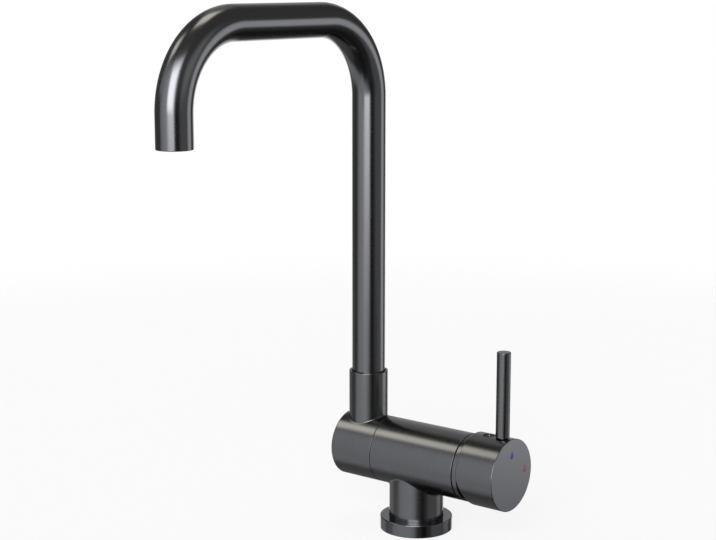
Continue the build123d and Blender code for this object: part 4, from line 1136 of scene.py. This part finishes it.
def drop_outline(grow):
    """Outline of a drop: a round foot and a small round tip, joined by straight flanks."""
    low_radius = MARK_RADIUS + grow
    tip_radius = MARK_TIP_RADIUS + grow
    flank = asin((low_radius - tip_radius) / MARK_TIP_RISE)
    foot = arc(low_radius, 0.0, flank, -(pi + 2 * flank), MARK_FOOT_STEPS)
    return foot + arc(tip_radius, MARK_TIP_RISE, pi - flank, -(pi - 2 * flank), MARK_TIP_STEPS)


def drop_prism(name, node, grow, back, front, crown=0.0):
    """Drop-shaped prism on the cap's end face, where the frame has its mark. Its front may be crowned."""
    low, high = span(node)
    place_y = (low.y + high.y) / 2
    place_z = low.z + MARK_RADIUS
    shape = bmesh.new()
    outline = drop_outline(grow)
    rings = []
    for x, share in [(back, 1.0)] + [(front + crown * rise, width) for rise, width in CROWN_ROWS]:
        rings.append([shape.verts.new((x, place_y + y * share, place_z + z * share)) for y, z in outline])
    link_rows(shape, rings)
    shape.faces.new(rings[0])
    shape.faces.new(rings[-1])
    return finish_mesh(name, shape)


def relief_wedge(rim):
    """Cutting tool for the cap's lower rim: a block turned about the middle of the rim."""
    low = (rim - RELIEF_REACH, -RELIEF_REACH, cap_axis_z - RELIEF_DEPTH)
    wedge = block(low, (rim, RELIEF_REACH, cap_axis_z))
    turn = Matrix.Rotation(radians(-RELIEF_ANGLE), 4, "Y")
    pivot = Matrix.Translation(Vector((rim, 0.0, cap_axis_z)) * MM)
    wedge.matrix_world = pivot @ turn @ pivot.inverted()
    return wedge


def make_cap():
    """Handle cap: a deep cup with a hub, its lower rim cut back so that it can tilt."""
    rim, face = cap_low.x, cap_high.x
    inside = cap_radius - CAP_WALL
    inner_face = face - CAP_END_WALL
    corners = solid(
        (HUB_X, HUB_RADIUS, RIM_EDGE),
        (inner_face, HUB_RADIUS, HUB_FILLET),
        (inner_face, inside, CUP_FILLET),
        (rim, inside, INNER_EDGE),
        (rim, cap_radius, CAP_RIM_EDGE),
        (face, cap_radius, CAP_EDGE),
    )
    cap = turned("handle_cap_cup", corners, "X", (0.0, cap_axis_z))
    low = (HUB_X - PAST_FACE, -HUB_SOCKET_HALF_WIDTH, cap_axis_z - HUB_SOCKET_HALF_HEIGHT)
    high = (HUB_SOCKET_END_X, HUB_SOCKET_HALF_WIDTH, cap_axis_z + HUB_SOCKET_HALF_HEIGHT)
    crest = cap_high.z
    above = crest + PAST_FACE
    plug_radius = (plug_high.x - plug_low.x) / 2 + PLUG_CLEARANCE
    plug_seat = solid(
        (cap_axis_z + GRUB_ACCESS_FOOT, GRUB_ACCESS_RADIUS, 0),
        (crest - PLUG_SEAT_DEPTH, GRUB_ACCESS_RADIUS, 0),
        (crest - PLUG_SEAT_DEPTH, plug_radius, 0),
        (above, plug_radius, 0),
    )
    neck_radius = LEVER_NECK_RADIUS + LEVER_NECK_CLEARANCE
    neck = solid((crest - LEVER_NECK_DEPTH, neck_radius, 0), (above, neck_radius, 0))
    tools = [
        relief_wedge(rim),
        block(low, high),
        turned("plug_seat", plug_seat, "Z", (plug_x, 0.0), SMALL_SEGMENTS),
        turned("neck_recess", neck, "Z", (lever_x, 0.0), SMALL_SEGMENTS),
    ]
    for node in ("cold_mark", "hot_mark"):
        tools.append(drop_prism("mark_pocket", node, POCKET_GROW, face - MARK_DEPTH, face + PAST_FACE))
    cut(cap, *tools)
    dress(cap, "handle_cap", "handle", "gunmetal", "handle_cap")


def make_marks():
    """Enamel drops a little below the cap's face, each with a slight crown."""
    face = cap_high.x
    for node, name, finish, slot in (
        ("cold_mark", "cold_enamel_drop", "blue", "mark_blue"),
        ("hot_mark", "hot_enamel_drop", "red", "mark_red"),
    ):
        drop = drop_prism(name, node, ENAMEL_GROW, face - MARK_DEPTH, face - ENAMEL_SINK, ENAMEL_CROWN)
        dress(drop, finish, "handle", slot, node, sharp_angle=DOME_SHARP_ANGLE)


# Lever and plug
LEVER_EDGE = 0.5
LEVER_FOOT_EDGE = 0.25
LEVER_THREAD_RADIUS = 2.48
LEVER_SEAT_EDGE = 0.05
PLUG_SHANK_RADIUS = 3.15
PLUG_HEAD_DROP = 0.62
PLUG_BUTTON_HEIGHT = 0.85
PLUG_TIP_RADIUS = 0.2


def make_lever():
    """Lever pin: its neck leaves a dark line between the cap and the pin's foot."""
    radius = (lever_high.x - lever_low.x) / 2
    foot = cap_high.z + LEVER_FOOT_GAP
    seat = cap_high.z - LEVER_NECK_DEPTH
    corners = solid(
        (lever_low.z, LEVER_THREAD_RADIUS, RIM_EDGE),
        (seat, LEVER_THREAD_RADIUS, LEVER_SEAT_EDGE),
        (seat, LEVER_NECK_RADIUS, STEP_EDGE),
        (foot, LEVER_NECK_RADIUS, SEAM_EDGE),
        (foot, radius, LEVER_FOOT_EDGE),
        (lever_high.z, radius, LEVER_EDGE),
    )
    lever = turned("turned_lever", corners, "Z", (lever_x, 0.0), PIN_SEGMENTS)
    dress(lever, "lever", "handle", "gunmetal", "lever_pin")


def make_plug():
    """Plug over the grub screw: a matt head on a short shank, with a pointed metal button in its middle."""
    radius = (plug_high.x - plug_low.x) / 2
    seat = cap_high.z - PLUG_SEAT_DEPTH
    top = plug_high.z
    corners = solid(
        (plug_low.z, PLUG_SHANK_RADIUS, RIM_EDGE),
        (seat, PLUG_SHANK_RADIUS, STEP_EDGE),
        (seat, radius, SEAM_EDGE),
        (top - PLUG_HEAD_DROP, radius, MOUTH_EDGE),
        (top - PLUG_BUTTON_HEIGHT, PLUG_BUTTON_RADIUS, INNER_EDGE),
        (top, PLUG_TIP_RADIUS, RIM_EDGE),
    )
    plug = turned("domed_plug", corners, "Z", (plug_x, 0.0), SMALL_SEGMENTS)
    dress(plug, "plug", "handle", "plug_plastic", "grub_screw_plug", sharp_angle=DOME_SHARP_ANGLE)


make_camera()
make_world()
make_floor()
dress_nodes()
make_flange()
make_body()
make_carrier()
make_cover()
make_spout()
make_trim_ring()
make_cap()
make_marks()
make_lever()
make_plug()

bpy.context.scene.view_settings.view_transform = "Standard"
